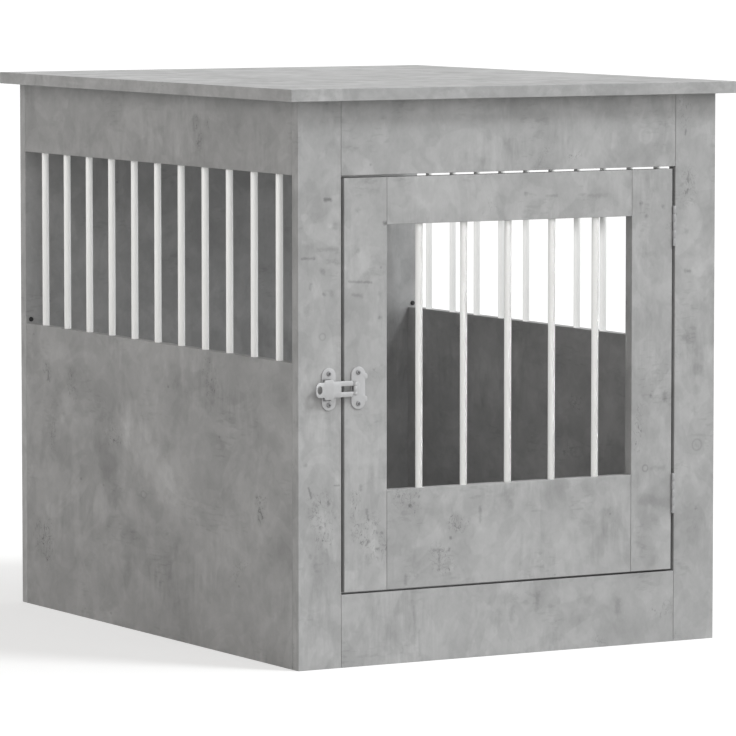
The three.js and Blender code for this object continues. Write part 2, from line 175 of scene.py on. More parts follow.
def turned(profile: Profile, origin: Vector, axis: Vector, facets: int, hollow: bool = False) -> BMesh:
    """Turns a profile into a closed round form.

    Args:
        profile: Pairs of a radius and a distance along the axis.
        origin: Where the axis starts.
        axis: The direction that the distances run in.
        facets: How many faces the form has round it.
        hollow: True where the profile closes on itself and leaves the axis free.

    Returns:
        The turned form, its normals outwards.
    """
    form = bmesh.new()
    points = [form.verts.new((radius, 0.0, along)) for radius, along in profile]
    pairs = list(zip(points, points[1:]))
    if hollow:
        pairs.append((points[-1], points[0]))
    edges = [form.edges.new(pair) for pair in pairs]
    bmesh.ops.spin(
        form,
        geom=[*points, *edges],
        cent=(0.0, 0.0, 0.0),
        axis=(0.0, 0.0, 1.0),
        angle=math.tau,
        steps=facets,
        use_merge=True,
    )
    bmesh.ops.remove_doubles(form, verts=form.verts, dist=WELD)
    bmesh.ops.recalc_face_normals(form, faces=form.faces)
    turn = axis.to_track_quat("Z", "Y").to_matrix().to_4x4()
    bmesh.ops.transform(form, matrix=Matrix.Translation(origin) @ turn, verts=form.verts)
    for face in form.faces:
        face.smooth = True
    return form


def rod_profile(radius: float, length: float, rim: float) -> list[tuple[float, float]]:
    """Gives the profile of a solid rod with eased rims.

    Args:
        radius: The rod's radius.
        length: Its length.
        rim: How far each rim is eased.

    Returns:
        The profile for turned().
    """
    shoulder = rim * (1 - math.sqrt(0.5))
    return [
        (0.0, 0.0),
        (radius - rim, 0.0),
        (radius - shoulder, shoulder),
        (radius, rim),
        (radius, length - rim),
        (radius - shoulder, length - shoulder),
        (radius - rim, length),
        (0.0, length),
    ]


def tube_profile(radius: float, bore: float, length: float, rim: float) -> list[tuple[float, float]]:
    """Gives the profile of a tube with chamfered outer rims.

    Args:
        radius: The outer radius.
        bore: The inner radius.
        length: The tube's length.
        rim: The width of the chamfer.

    Returns:
        The closed profile for turned().
    """
    return [
        (bore, 0.0),
        (radius - rim, 0.0),
        (radius, rim),
        (radius, length - rim),
        (radius - rim, length),
        (bore, length),
    ]


def gathered(forms: Iterable[BMesh]) -> BMesh:
    """Puts separate forms into one and frees them.

    Args:
        forms: The forms, which don't touch.

    Returns:
        One form that holds them all.
    """
    whole = bmesh.new()
    for form in forms:
        mesh = bpy.data.meshes.new("gathered")
        form.to_mesh(mesh)
        form.free()
        whole.from_mesh(mesh)
        bpy.data.meshes.remove(mesh)
    return whole


def combined(base: BMesh, tool: BMesh, operation: Operation) -> BMesh:
    """Cuts a form with another or joins the two.

    Args:
        base: The form to work on, which is freed.
        tool: The form to cut with or to add, which is freed.
        operation: Whether to cut or to join.

    Returns:
        The new form.
    """
    workpieces = []
    for form in (base, tool):
        mesh = bpy.data.meshes.new("workpiece")
        form.to_mesh(mesh)
        form.free()
        workpiece = bpy.data.objects.new("workpiece", mesh)
        bpy.context.scene.collection.objects.link(workpiece)
        workpieces.append(workpiece)
    modifier = workpieces[0].modifiers.new("combine", "BOOLEAN")
    modifier.object = workpieces[1]
    modifier.operation = operation.value
    modifier.solver = "EXACT"
    depsgraph = bpy.context.evaluated_depsgraph_get()
    mesh = bpy.data.meshes.new_from_object(workpieces[0].evaluated_get(depsgraph))
    result = bmesh.new()
    result.from_mesh(mesh)
    bmesh.ops.remove_doubles(result, verts=result.verts, dist=FUSE)
    bpy.data.meshes.remove(mesh)
    for workpiece in workpieces:
        worn = workpiece.data
        bpy.data.objects.remove(workpiece)
        bpy.data.meshes.remove(worn)
    return result


def both_halves(upper: Sequence[Corner], height: float) -> list[Corner]:
    """Mirrors the corners of an upper half below a height.

    Args:
        upper: The corners, with their heights above it.
        height: The height that they are mirrored about.

    Returns:
        All corners, going round.
    """
    lower = [(x, -z, radius) for x, z, radius in reversed(upper)]
    return [(x, height + z, radius) for x, z, radius in [*upper, *lower]]


def flat_shape(corners: Sequence[Corner]) -> BMesh:
    """Makes one flat upright face and rounds its corners.

    Args:
        corners: The X, the Z and the rounding of each corner, going round.

    Returns:
        The face, at Y 0.
    """
    form = bmesh.new()
    spots = [form.verts.new((x, 0.0, z)) for x, z, _ in corners]
    form.faces.new(spots)
    radii = [radius for *_, radius in corners]
    for radius in sorted({radius for radius in radii if radius > 0.0}):
        bmesh.ops.bevel(
            form,
            geom=[spot for spot, own in zip(spots, radii) if own == radius],
            offset=radius,
            offset_type="OFFSET",
            affect="VERTICES",
            segments=8,
            profile=0.5,
            material=-1,
        )
    return form


def thicken(form: BMesh, thickness: float) -> None:
    """Draws a sheet of faces out to the front.

    Args:
        form: The faces.
        thickness: How far they are drawn out.
    """
    made = bmesh.ops.extrude_face_region(form, geom=form.faces[:])
    front = [item for item in made["geom"] if isinstance(item, bmesh.types.BMVert)]
    bmesh.ops.translate(form, vec=(0.0, -thickness, 0.0), verts=front)
    bmesh.ops.recalc_face_normals(form, faces=form.faces)


def middle(node: str) -> Vector:
    """Gives the middle of a CAD node's box."""
    low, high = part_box(node)
    return (low + high) / 2


# ---------------------------------------------------------------- finishes


class NodeSheet:
    """A node tree with short calls for the nodes that the finishes use."""

    def __init__(self, tree: bpy.types.ShaderNodeTree) -> None:
        """Starts on an empty tree."""
        self.tree = tree
        tree.nodes.clear()

    def add(self, kind: str, **settings: object) -> Node:
        """Adds a node.

        Args:
            kind: The node's type without its prefix.
            settings: Values for its properties.

        Returns:
            The new node.
        """
        node = self.tree.nodes.new("ShaderNode" + kind)
        for name, value in settings.items():
            setattr(node, name, value)
        return node

    def feed(self, socket: Socket, value: Socket | float | Sequence[float]) -> None:
        """Links a socket into another, or writes a plain value on it."""
        if isinstance(value, bpy.types.NodeSocket):
            self.tree.links.new(value, socket)
        else:
            socket.default_value = value

    def stretched(self, vector: Socket, scale: Sequence[float]) -> Socket:
        """Scales a vector along each axis.

        Args:
            vector: The vector.
            scale: Its factors along X, Y and Z.

        Returns:
            The scaled vector.
        """
        node = self.add("VectorMath", operation="MULTIPLY")
        self.feed(node.inputs[0], vector)
        self.feed(node.inputs[1], scale)
        return node.outputs["Vector"]

    def noise(self, vector: Socket, scale: float, detail: float, rough: float, bend: float = 0.0) -> Socket:
        """Adds a noise texture.

        Args:
            vector: Where the noise is read.
            scale: Features per metre.
            detail: How many finer layers it has.
            rough: How strong these are.
            bend: How far it is distorted.

        Returns:
            Its value, about 0.5 on average.
        """
        node = self.add("TexNoise")
        self.feed(node.inputs["Vector"], vector)
        self.feed(node.inputs["Scale"], scale)
        self.feed(node.inputs["Detail"], detail)
        self.feed(node.inputs["Roughness"], rough)
        self.feed(node.inputs["Distortion"], bend)
        return node.outputs["Fac"]

    def cells(self, vector: Socket, scale: float) -> tuple[Socket, Socket]:
        """Adds a cell texture.

        Args:
            vector: Where the cells are read.
            scale: Cells per metre.

        Returns:
            The distance to the nearest cell's point, in cells, and that cell's random number.
        """
        node = self.add("TexVoronoi")
        self.feed(node.inputs["Vector"], vector)
        self.feed(node.inputs["Scale"], scale)
        split = self.add("SeparateColor")
        self.feed(split.inputs["Color"], node.outputs["Color"])
        return node.outputs["Distance"], split.outputs["Red"]

    def ramp(
        self, value: Socket, start: float, end: float, low: float, high: float, smooth: bool = True
    ) -> Socket:
        """Maps a range onto another, and holds it past both ends.

        Args:
            value: The value to map.
            start: Where the range starts.
            end: Where it ends.
            low: The result up to the start.
            high: The result from the end on.
            smooth: True where the change starts and ends softly.

        Returns:
            The mapped value.
        """
        node = self.add("MapRange", interpolation_type="SMOOTHSTEP" if smooth else "LINEAR")
        for name, amount in zip(("Value", "From Min", "From Max", "To Min", "To Max"), (value, start, end, low, high)):
            self.feed(node.inputs[name], amount)
        return node.outputs["Result"]

    def math(self, operation: str, first: Socket | float, second: Socket | float = 0.0) -> Socket:
        """Adds a Math node.

        Args:
            operation: Its operation.
            first: The first value.
            second: The second value, where the operation has one.

        Returns:
            The result.
        """
        node = self.add("Math", operation=operation)
        self.feed(node.inputs[0], first)
        self.feed(node.inputs[1], second)
        return node.outputs["Value"]

    def vector_math(self, operation: str, *values: Socket | Sequence[float]) -> Node:
        """Adds a Vector Math node.

        Args:
            operation: Its operation.
            values: Its vectors.

        Returns:
            The node, whose result is a vector or a value.
        """
        node = self.add("VectorMath", operation=operation)
        for socket, value in zip(node.inputs, values):
            self.feed(socket, value)
        return node

    def product(self, *values: Socket | float) -> Socket:
        """Multiplies several values."""
        result = values[0]
        for value in values[1:]:
            result = self.math("MULTIPLY", result, value)
        return result

    def total(self, *values: Socket | float) -> Socket:
        """Adds several values."""
        result = values[0]
        for value in values[1:]:
            result = self.math("ADD", result, value)
        return result

    def swing(self, value: Socket, amount: float) -> Socket:
        """Turns a value about 0.5 into one about 0, at most half the amount either way."""
        return self.math("MULTIPLY", self.math("SUBTRACT", value, 0.5), amount)

    def tinted(self, shade: Socket, colour: Colour) -> Socket:
        """Multiplies a colour by a grey value.

        Args:
            shade: The grey value.
            colour: The colour.

        Returns:
            The colour, lighter or darker.
        """
        node = self.add("VectorMath", operation="SCALE")
        self.feed(node.inputs[0], colour)
        self.feed(node.inputs["Scale"], shade)
        return node.outputs["Vector"]

    def bumped(self, height: Socket, depth: float) -> Socket:
        """Turns a height into a normal.

        Args:
            height: The height, from 0 to 1.
            depth: What 1 is in metres.

        Returns:
            The normal.
        """
        node = self.add("Bump")
        self.feed(node.inputs["Strength"], 1.0)
        self.feed(node.inputs["Distance"], depth)
        self.feed(node.inputs["Height"], height)
        return node.outputs["Normal"]


def new_material(name: str) -> tuple[bpy.types.Material, NodeSheet]:
    """Makes an empty node material.

    Args:
        name: The material's name.

    Returns:
        The material and the sheet of its nodes.
    """
    material = bpy.data.materials.new(name)
    material.use_nodes = True
    return material, NodeSheet(material.node_tree)


@dataclass(frozen=True)
class Mark:
    """A single mark of the print on one board: a soft smear, a patch of pits or a ring.

    It runs along a line from start to end, as far as its reach. A tone above 0 is lighter
    and below 0 darker. A scar brings out pits and cracks. A ring is drawn round the line.
    """

    start: tuple[float, float, float]
    end: tuple[float, float, float]
    reach: float
    tone: float = 0.0
    scar: float = 0.0
    ring: float = 0.0

    def cover(self, sheet: NodeSheet, point: Socket, wobble: Socket) -> Socket:
        """Adds the nodes that find the mark.

        Args:
            sheet: The nodes to add to.
            point: Where the print is read, in the frame's axes.
            wobble: A length about 0 that makes the outline uneven.

        Returns:
            1 on the mark and 0 away from it.
        """
        run = (Vector(self.end) - Vector(self.start)) * MM
        away = sheet.vector_math("SUBTRACT", point, Vector(self.start) * MM).outputs["Vector"]
        share = 0.0
        if run.length > 0.0:
            along = sheet.vector_math("DOT_PRODUCT", away, run / run.length_squared)
            share = sheet.ramp(along.outputs["Value"], 0.0, 1.0, 0.0, 1.0, smooth=False)
        foot = sheet.vector_math("SCALE", run)
        sheet.feed(foot.inputs["Scale"], share)
        distance = sheet.vector_math("DISTANCE", away, foot.outputs["Vector"]).outputs["Value"]
        reach = self.reach * MM
        if self.ring > 0.0:
            gap = sheet.math("ABSOLUTE", sheet.math("SUBTRACT", distance, reach))
            return sheet.ramp(gap, 0.0, self.ring * MM, 1.0, 0.0)
        core = 0.0 if self.is_small() else 0.3
        return sheet.ramp(sheet.math("ADD", distance, wobble), core * reach, reach, 1.0, 0.0)

    def is_small(self) -> bool:
        """Tells whether the mark is a spot or a line, and not an area."""
        return self.reach < 8.0


@dataclass(frozen=True)
class ConcreteLaminate:
    """A printed concrete look: clouds, blotches, upright streaks, dashes, pits and cracks."""

    colour: Colour = (0.425, 0.425, 0.426)
    cloud_swing: float = 0.3
    blotch_swing: float = 0.42
    mottle_swing: float = 0.24
    streak_swing: float = 0.45
    grain_swing: float = 0.1
    smear: float = 0.08
    skin: float = 0.06
    dash: float = 0.09
    pit: float = 0.36
    crack: float = 0.3
    fleck: float = 0.07
    ring: float = 0.13
    relief: float = 0.12 * MM
    specular: float = 0.2

    def print_group(self) -> bpy.types.ShaderNodeTree:
        """Makes the print, which all boards share.

        Returns:
            A group that takes a point of the print, its streaks along Z, and how much a
            mark of the board lightens and scars it, and gives the shade about 1, the
            roughness and the height.
        """
        tree = bpy.data.node_groups.new("concrete_print", "ShaderNodeTree")
        tree.interface.new_socket("Point", in_out="INPUT", socket_type="NodeSocketVector")
        for name in ("Tone", "Scar"):
            tree.interface.new_socket(name, in_out="INPUT", socket_type="NodeSocketFloat")
        for name in ("Shade", "Roughness", "Height"):
            tree.interface.new_socket(name, in_out="OUTPUT", socket_type="NodeSocketFloat")
        sheet = NodeSheet(tree)
        entry = tree.nodes.new("NodeGroupInput")
        leave = tree.nodes.new("NodeGroupOutput")
        point = entry.outputs["Point"]

        cloud = sheet.noise(sheet.stretched(point, (1, 1, 0.9)), 7.0, 2.0, 0.5)
        blotch = sheet.noise(sheet.stretched(point, (1, 1, 0.85)), 23.0, 3.0, 0.55, 0.5)
        mottle = sheet.noise(sheet.stretched(point, (1, 1, 0.75)), 70.0, 2.0, 0.6, 0.4)
        skin = sheet.noise(sheet.stretched(point, (1, 1, 0.8)), 33.0, 2.0, 0.5, 0.4)
        streak = sheet.noise(sheet.stretched(point, (1, 1, 0.14)), 130.0, 3.0, 0.6, 0.3)
        dash = sheet.noise(sheet.stretched(point, (0.3, 0.3, 1)), 230.0, 2.0, 0.5)
        grain = sheet.noise(sheet.stretched(point, (1, 1, 0.6)), 520.0, 2.0, 0.6)
        patch = sheet.noise(sheet.stretched(point, (1, 1, 0.7)), 12.0, 4.0, 0.55, 1.2)
        streaked = sheet.ramp(sheet.noise(point, 9.0, 1.0, 0.5), 0.5, 0.64, 0.05, 1.0)
        dashed = sheet.ramp(sheet.noise(point, 17.0, 1.0, 0.5), 0.56, 0.66, 0.0, 1.0)

        cluster = sheet.ramp(sheet.noise(point, 10.0, 3.0, 0.55), 0.62, 0.72, 0.0, 0.9)
        scarred = sheet.math("MAXIMUM", cluster, entry.outputs["Scar"])
        fleck = sheet.noise(sheet.stretched(point, (1, 1, 0.6)), 300.0, 2.0, 0.6)
        gouge = sheet.noise(sheet.stretched(point, (1, 1, 0.5)), 150.0, 3.0, 0.6, 0.8)
        pit = sheet.product(
            sheet.math("MAXIMUM", sheet.ramp(fleck, 0.62, 0.7, 0.0, 1.0), sheet.ramp(gouge, 0.6, 0.68, 0.0, 1.0)),
            scarred,
        )
        pale = sheet.product(sheet.ramp(gouge, 0.34, 0.42, 1.0, 0.0), scarred)
        vein = sheet.noise(sheet.stretched(point, (1, 1, 0.7)), 60.0, 4.0, 0.6, 1.6)
        vein_gap = sheet.math("ABSOLUTE", sheet.math("SUBTRACT", vein, 0.5))
        crack = sheet.product(sheet.ramp(vein_gap, 0.003, 0.016, 1.0, 0.0), scarred)
        lone_distance, lone_pick = sheet.cells(point, 24.0)
        lone_pit = sheet.product(
            sheet.ramp(lone_distance, 0.02, 0.06, 1.0, 0.0),
            sheet.math("GREATER_THAN", lone_pick, 0.62),
        )
        ring_distance, ring_pick = sheet.cells(point, 7.0)
        ring_gap = sheet.math("ABSOLUTE", sheet.math("SUBTRACT", ring_distance, 0.035))
        ring = sheet.product(
            sheet.ramp(ring_gap, 0.003, 0.009, 1.0, 0.0),
            sheet.math("GREATER_THAN", ring_pick, 0.7),
        )

        marks = sheet.total(
            sheet.product(pit, self.pit),
            sheet.product(lone_pit, self.pit * 0.6),
            sheet.product(crack, self.crack),
            sheet.product(ring, self.ring),
        )
        tone = sheet.total(
            1.0,
            entry.outputs["Tone"],
            sheet.swing(cloud, self.cloud_swing),
            sheet.swing(blotch, self.blotch_swing),
            sheet.swing(mottle, self.mottle_swing),
            sheet.product(sheet.swing(streak, self.streak_swing), streaked),
            sheet.product(sheet.ramp(dash, 0.54, 0.64, 0.0, -self.dash), dashed),
            sheet.swing(grain, self.grain_swing),
            sheet.product(pale, self.fleck),
            sheet.ramp(patch, 0.52, 0.57, -0.4 * self.smear, 0.6 * self.smear),
            sheet.ramp(skin, 0.48, 0.53, -0.5 * self.skin, 0.5 * self.skin),
        )
        sheet.feed(leave.inputs["Shade"], sheet.product(tone, sheet.math("SUBTRACT", 1.0, marks)))
        sheet.feed(leave.inputs["Roughness"], sheet.ramp(blotch, 0.25, 0.75, 0.66, 0.54))
        sheet.feed(
            leave.inputs["Height"],
            sheet.total(0.5, sheet.swing(streak, 0.3), sheet.swing(grain, 0.3), sheet.product(marks, -1.0)),
        )
        return tree

    def material(
        self,
        name: str,
        group: bpy.types.ShaderNodeTree,
        grain: Grain,
        sheet_place: Vector,
        spread: Vector,
        marks: Sequence[Mark] = (),
    ) -> bpy.types.Material:
        """Makes the finish of one board.

        Args:
            name: The material's name.
            group: The print.
            grain: The way the streaks run.
            sheet_place: Where on the endless print the board was cut.
            spread: How much of the print goes into a metre along each axis.
            marks: The board's own marks.

        Returns:
            The material.
        """
        material, sheet = new_material(name)
        place = sheet.add("TexCoord")
        mapping = sheet.add("Mapping")
        sheet.feed(mapping.inputs["Vector"], place.outputs["Object"])
        sheet.feed(mapping.inputs["Location"], sheet_place)
        sheet.feed(mapping.inputs["Rotation"], Euler(grain.value))
        sheet.feed(mapping.inputs["Scale"], spread)
        pattern = sheet.add("Group", node_tree=group)
        sheet.feed(pattern.inputs["Point"], mapping.outputs["Vector"])
        if marks:
            uneven = sheet.noise(place.outputs["Object"], 45.0, 3.0, 0.6)
            ragged = sheet.noise(place.outputs["Object"], 240.0, 3.0, 0.7)
            tone: Socket | float = 0.0
            scar: Socket | float = 0.0
            for mark in marks:
                edge = ragged if mark.is_small() else uneven
                wobble = sheet.swing(edge, 1.8 * mark.reach * MM)
                cover = mark.cover(sheet, place.outputs["Object"], wobble)
                tone = sheet.total(tone, sheet.product(cover, mark.tone))
                scar = sheet.math("MAXIMUM", scar, sheet.product(cover, mark.scar))
            sheet.feed(pattern.inputs["Tone"], tone)
            sheet.feed(pattern.inputs["Scar"], scar)
        shader = sheet.add("BsdfPrincipled")
        sheet.feed(shader.inputs["Base Color"], sheet.tinted(pattern.outputs["Shade"], self.colour))
        sheet.feed(shader.inputs["Roughness"], pattern.outputs["Roughness"])
        sheet.feed(shader.inputs["Specular IOR Level"], self.specular)
        sheet.feed(shader.inputs["Normal"], sheet.bumped(pattern.outputs["Height"], self.relief))
        end = sheet.add("OutputMaterial")
        sheet.feed(end.inputs["Surface"], shader.outputs["BSDF"])
        return material


@dataclass(frozen=True)
class PlainFinish:
    """A finish with a fine texture over one colour: paint, metal or moulded plastic."""

    name: str
    colour: Colour
    metallic: float
    roughness: float
    tone_swing: float
    texture_scale: float
    texture_stretch: tuple[float, float, float]
    relief: float
    cloud_scale: float = 40.0

    def material(self) -> bpy.types.Material:
        """Makes the finish.

        Returns:
            The material.
        """
        material, sheet = new_material(self.name)
        point = sheet.add("TexCoord").outputs["Object"]
        cloud = sheet.noise(point, self.cloud_scale, 3.0, 0.6)
        texture = sheet.noise(sheet.stretched(point, self.texture_stretch), self.texture_scale, 3.0, 0.6)
        shade = sheet.total(
            1.0,
            sheet.swing(cloud, self.tone_swing),
            sheet.swing(texture, self.tone_swing),
        )
        shader = sheet.add("BsdfPrincipled")
        sheet.feed(shader.inputs["Base Color"], sheet.tinted(shade, self.colour))
        sheet.feed(shader.inputs["Metallic"], self.metallic)
        rough = sheet.total(self.roughness, sheet.swing(cloud, 0.12), sheet.swing(texture, 0.1))
        sheet.feed(shader.inputs["Roughness"], rough)
        sheet.feed(shader.inputs["Normal"], sheet.bumped(texture, self.relief))
        end = sheet.add("OutputMaterial")
        sheet.feed(end.inputs["Surface"], shader.outputs["BSDF"])
        return material


@dataclass(frozen=True)
class StudioFloor:
    """A plain pale floor: white where it is seen lit, and throwing back less light."""

    thrown: Colour = (0.435, 0.435, 0.43)
    seen: Colour = (0.62, 0.62, 0.62)
    seen_glow: float = 0.48

    def material(self) -> bpy.types.Material:
        """Makes the finish.

        Returns:
            The material.
        """
        material, sheet = new_material("studio_floor")
        shaders = []
        for colour in (self.thrown, self.seen):
            shader = sheet.add("BsdfDiffuse")
            sheet.feed(shader.inputs["Color"], (*colour, 1.0))
            shaders.append(shader.outputs["BSDF"])
        glow = sheet.add("Emission")
        sheet.feed(glow.inputs["Color"], (1.0, 1.0, 1.0, 1.0))
        sheet.feed(glow.inputs["Strength"], self.seen_glow)
        pale = sheet.add("AddShader")
        sheet.feed(pale.inputs[0], shaders[1])
        sheet.feed(pale.inputs[1], glow.outputs["Emission"])
        mix = sheet.add("MixShader")
        sheet.feed(mix.inputs["Fac"], seen_directly(sheet))
        sheet.feed(mix.inputs[1], shaders[0])
        sheet.feed(mix.inputs[2], pale.outputs["Shader"])
        end = sheet.add("OutputMaterial")
        sheet.feed(end.inputs["Surface"], mix.outputs["Shader"])
        return material


def seen_directly(sheet: NodeSheet) -> Socket:
    """Tells a ray of the camera, a reflection or a view through glass from one that lights.

    Args:
        sheet: The nodes to add to.

    Returns:
        1 where the ray is seen, 0 where it lights.
    """
    path = sheet.add("LightPath")
    seen = path.outputs["Is Camera Ray"]
    for name in ("Is Glossy Ray", "Is Transmission Ray"):
        seen = sheet.math("MAXIMUM", seen, path.outputs[name])
    return seen


class Finishes:
    """Every finish of the table, made once."""

    def __init__(self) -> None:
        """Makes the print and the shared materials."""
        self.laminate = ConcreteLaminate()
        self.concrete_print = self.laminate.print_group()
        self.steel = PlainFinish(
            name="white_painted_steel",
            colour=(0.85, 0.85, 0.84),
            metallic=0.0,
            roughness=0.42,
            tone_swing=0.05,
            texture_scale=900.0,
            texture_stretch=(1.0, 1.0, 1.0),
            relief=0.03 * MM,
        ).material()
        self.zinc = PlainFinish(
            name="matt_zinc",
            colour=(0.435, 0.435, 0.44),
            metallic=0.5,
            roughness=0.46,
            tone_swing=0.12,
            texture_scale=1400.0,
            texture_stretch=(1.0, 1.0, 0.18),
            relief=0.012 * MM,
            cloud_scale=160.0,
        ).material()
        self.hinge = PlainFinish(
            name="dull_zinc",
            colour=(0.34, 0.34, 0.345),
            metallic=0.5,
            roughness=0.5,
            tone_swing=0.12,
            texture_scale=1400.0,
            texture_stretch=(1.0, 1.0, 0.18),
            relief=0.012 * MM,
            cloud_scale=160.0,
        ).material()
        # A darker zinc: the screw heads' own colour, and painted shade in the latch's pocket behind the arm's head and
        # in the door plate's punched hook.
        self.screw = PlainFinish(
            name="dark_zinc",
            colour=(0.26, 0.26, 0.265),
            metallic=0.5,
            roughness=0.5,
            tone_swing=0.15,
            texture_scale=1400.0,
            texture_stretch=(1.0, 1.0, 1.0),
            relief=0.012 * MM,
            cloud_scale=160.0,
        ).material()
        # Nearly black: painted shade in the screws' cross recesses.
        self.painted_recess_shade = PlainFinish(
            name="screw_recess",
            colour=(0.1, 0.1, 0.1),
            metallic=0.6,
            roughness=0.6,
            tone_swing=0.2,
            texture_scale=1500.0,
            texture_stretch=(1.0, 1.0, 1.0),
            relief=0.02 * MM,
        ).material()
        self.plastic = PlainFinish(
            name="dark_moulded_plastic",
            colour=(0.012, 0.012, 0.013),
            metallic=0.0,
            roughness=0.5,
            tone_swing=0.2,
            texture_scale=1200.0,
            texture_stretch=(1.0, 1.0, 1.0),
            relief=0.03 * MM,
        ).material()

    def board(
        self, name: str, grain: Grain, place: Vector, spread: Vector, marks: Sequence[Mark]
    ) -> bpy.types.Material:
        """Gives a board its own cut of the print.

        Args:
            name: The board's name.
            grain: The way the streaks run.
            place: Where on the print it was cut.
            spread: How much of the print goes into a metre along each axis.
            marks: The board's own marks.

        Returns:
            The material.
        """
        return self.laminate.material(
            f"laminate_{name}", self.concrete_print, grain, place, spread, marks
        )


# ---------------------------------------------------------------- pieces


def add_piece(
    name: str,
    form: BMesh,
    materials: Sequence[bpy.types.Material],
    body: str,
    slot: Slot,
    replaces: Sequence[str] = (),
    sharp: bool = True,
) -> bpy.types.Object:
    """Makes a form a piece that rides on a body.

    Args:
        name: The piece's name.
        form: Its form, which is freed.
        materials: Its materials, in the order of its faces' numbers.
        body: The CAD body it rides on.
        slot: The record's slot that its finish stands for. Not used.
        replaces: The CAD nodes that it stands for.
        sharp: True where edges past the sharp angle are to stay crisp.

    Returns:
        The piece.
    """
    mesh = bpy.data.meshes.new(name)
    form.to_mesh(mesh)
    form.free()
    if sharp:
        mesh.set_sharp_from_angle(angle=SHARP_ANGLE)
    piece = bpy.data.objects.new(name, mesh)
    bpy.context.scene.collection.objects.link(piece)
    for material in materials:
        mesh.materials.append(material)
    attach(piece, body)
    if replaces:
        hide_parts(*replaces)
    LOG.info("%s: %d faces, rides on %s", name, len(mesh.polygons), body)
    return piece


@dataclass(frozen=True)
class Bore:
    """A round hole in a board, from one distance along an axis to another."""

    centre: Vector
    axis: Axis
    radius: float
    start: float
    end: float
    past: float = 1.0 * MM
    mouth: float = 0.35 * MM
    facets: int = 24

    def tool(self, board_low: Vector, board_high: Vector) -> BMesh:
        """Makes the form that cuts the hole.

        Args:
            board_low: The board's lowest corner.
            board_high: Its highest corner.

        Returns:
            A turned form with a wider mouth where it leaves the board.
        """
        along = self.axis.value
        wide = self.radius + self.mouth
        start, end = self.start, self.end
        profile: list[tuple[float, float]] = []
        if start < board_low[along]:
            start = board_low[along] - self.past
            profile += [(0.0, 0.0), (wide + self.past, 0.0)]
            profile += [(wide, self.past), (self.radius, self.past + self.mouth)]
        else:
            profile += [(0.0, 0.0), (self.radius, 0.0)]
        if end > board_high[along]:
            face = board_high[along] - start
            profile += [(self.radius, face - self.mouth), (wide, face)]
            profile += [(wide + self.past, face + self.past), (0.0, face + self.past)]
        else:
            profile += [(self.radius, end - start), (0.0, end - start)]
        origin = self.centre.copy()
        origin[along] = start
        return turned(profile, origin, self.axis.vector, self.facets)


def seat(node: str, axis: Axis = Axis.Z, radius: float = 4.7 * MM) -> Bore:
    """Gives the hole that a CAD node stands in.

    Args:
        node: The node.
        axis: The way it points.
        radius: The hole's radius.

    Returns:
        The hole, a little deeper than the node reaches.
    """
    end_gap = 0.3 * MM
    low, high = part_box(node)
    along = axis.value
    return Bore(middle(node), axis, radius, low[along] - end_gap, high[along] + end_gap)


@dataclass
class Board:
    """A laminated board with eased edges and holes for what stands in it."""

    node: str
    grain: Grain
    sheet_place: tuple[float, float, float]
    bores: tuple[Bore, ...] = ()
    marks: tuple[Mark, ...] = ()
    spread: tuple[float, float, float] = (1.0, 1.0, 1.0)
    edge_radius: float = 0.5 * MM
    edge_segments: int = 3

    def form(self) -> BMesh:
        """Makes the board's form."""
        low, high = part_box(self.node)
        form = block(low, high)
        ease(form, form.edges[:], self.edge_radius, self.edge_segments)
        if self.bores:
            tools = gathered(bore.tool(low, high) for bore in self.bores)
            form = combined(form, tools, Operation.CUT)
        return form

    def build(self, finishes: Finishes) -> bpy.types.Object:
        """Makes and dresses the board.

        Args:
            finishes: The table's finishes.

        Returns:
            The board.
        """
        material = finishes.board(
            self.node, self.grain, Vector(self.sheet_place), Vector(self.spread), self.marks
        )
        return add_piece(
            self.node + FINISHED,
            self.form(),
            [material],
            BODY_OF_NODE[self.node],
            Slot.LAMINATE,
            [self.node],
            sharp=False,
        )


@dataclass
class Bars:
    """A row of round painted bars."""

    nodes: tuple[str, ...]
    rim: float = 0.9 * MM
    facets: int = 32

    def build(self, finishes: Finishes) -> list[bpy.types.Object]:
        """Makes and dresses the bars.

        Args:
            finishes: The table's finishes.

        Returns:
            The bars, in the order of their nodes.
        """
        bars = []
        for node in self.nodes:
            low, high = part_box(node)
            origin = middle(node)
            origin.z = low.z
            profile = rod_profile((high.x - low.x) / 2, high.z - low.z, self.rim)
            form = turned(profile, origin, Axis.Z.vector, self.facets)
            bars.append(
                add_piece(node + FINISHED, form, [finishes.steel], BODY_OF_NODE[node], Slot.STEEL, [node])
            )
        return bars


def numbered(prefix: str, count: int) -> tuple[str, ...]:
    """Gives the names of a row of nodes, numbered from 1."""
    return tuple(f"{prefix}_{i + 1}" for i in range(count))


LEFT_FACE = -302.5
FRONT_FACE = -380.0


def side_mark(
    start: tuple[float, float], end: tuple[float, float], reach: float, tone: float = 0.0, scar: float = 0.0
) -> Mark:
    """Places a mark on the left side, by its distances in millimetres along Y and Z."""
    return Mark((LEFT_FACE, *start), (LEFT_FACE, *end), reach, tone, scar)


def front_mark(
    start: tuple[float, float],
    end: tuple[float, float],
    reach: float,
    tone: float = 0.0,
    scar: float = 0.0,
    ring: float = 0.0,
) -> Mark:
    """Places a mark on the front, by its distances in millimetres along X and Z."""
    return Mark((start[0], FRONT_FACE, start[1]), (end[0], FRONT_FACE, end[1]), reach, tone, scar, ring)


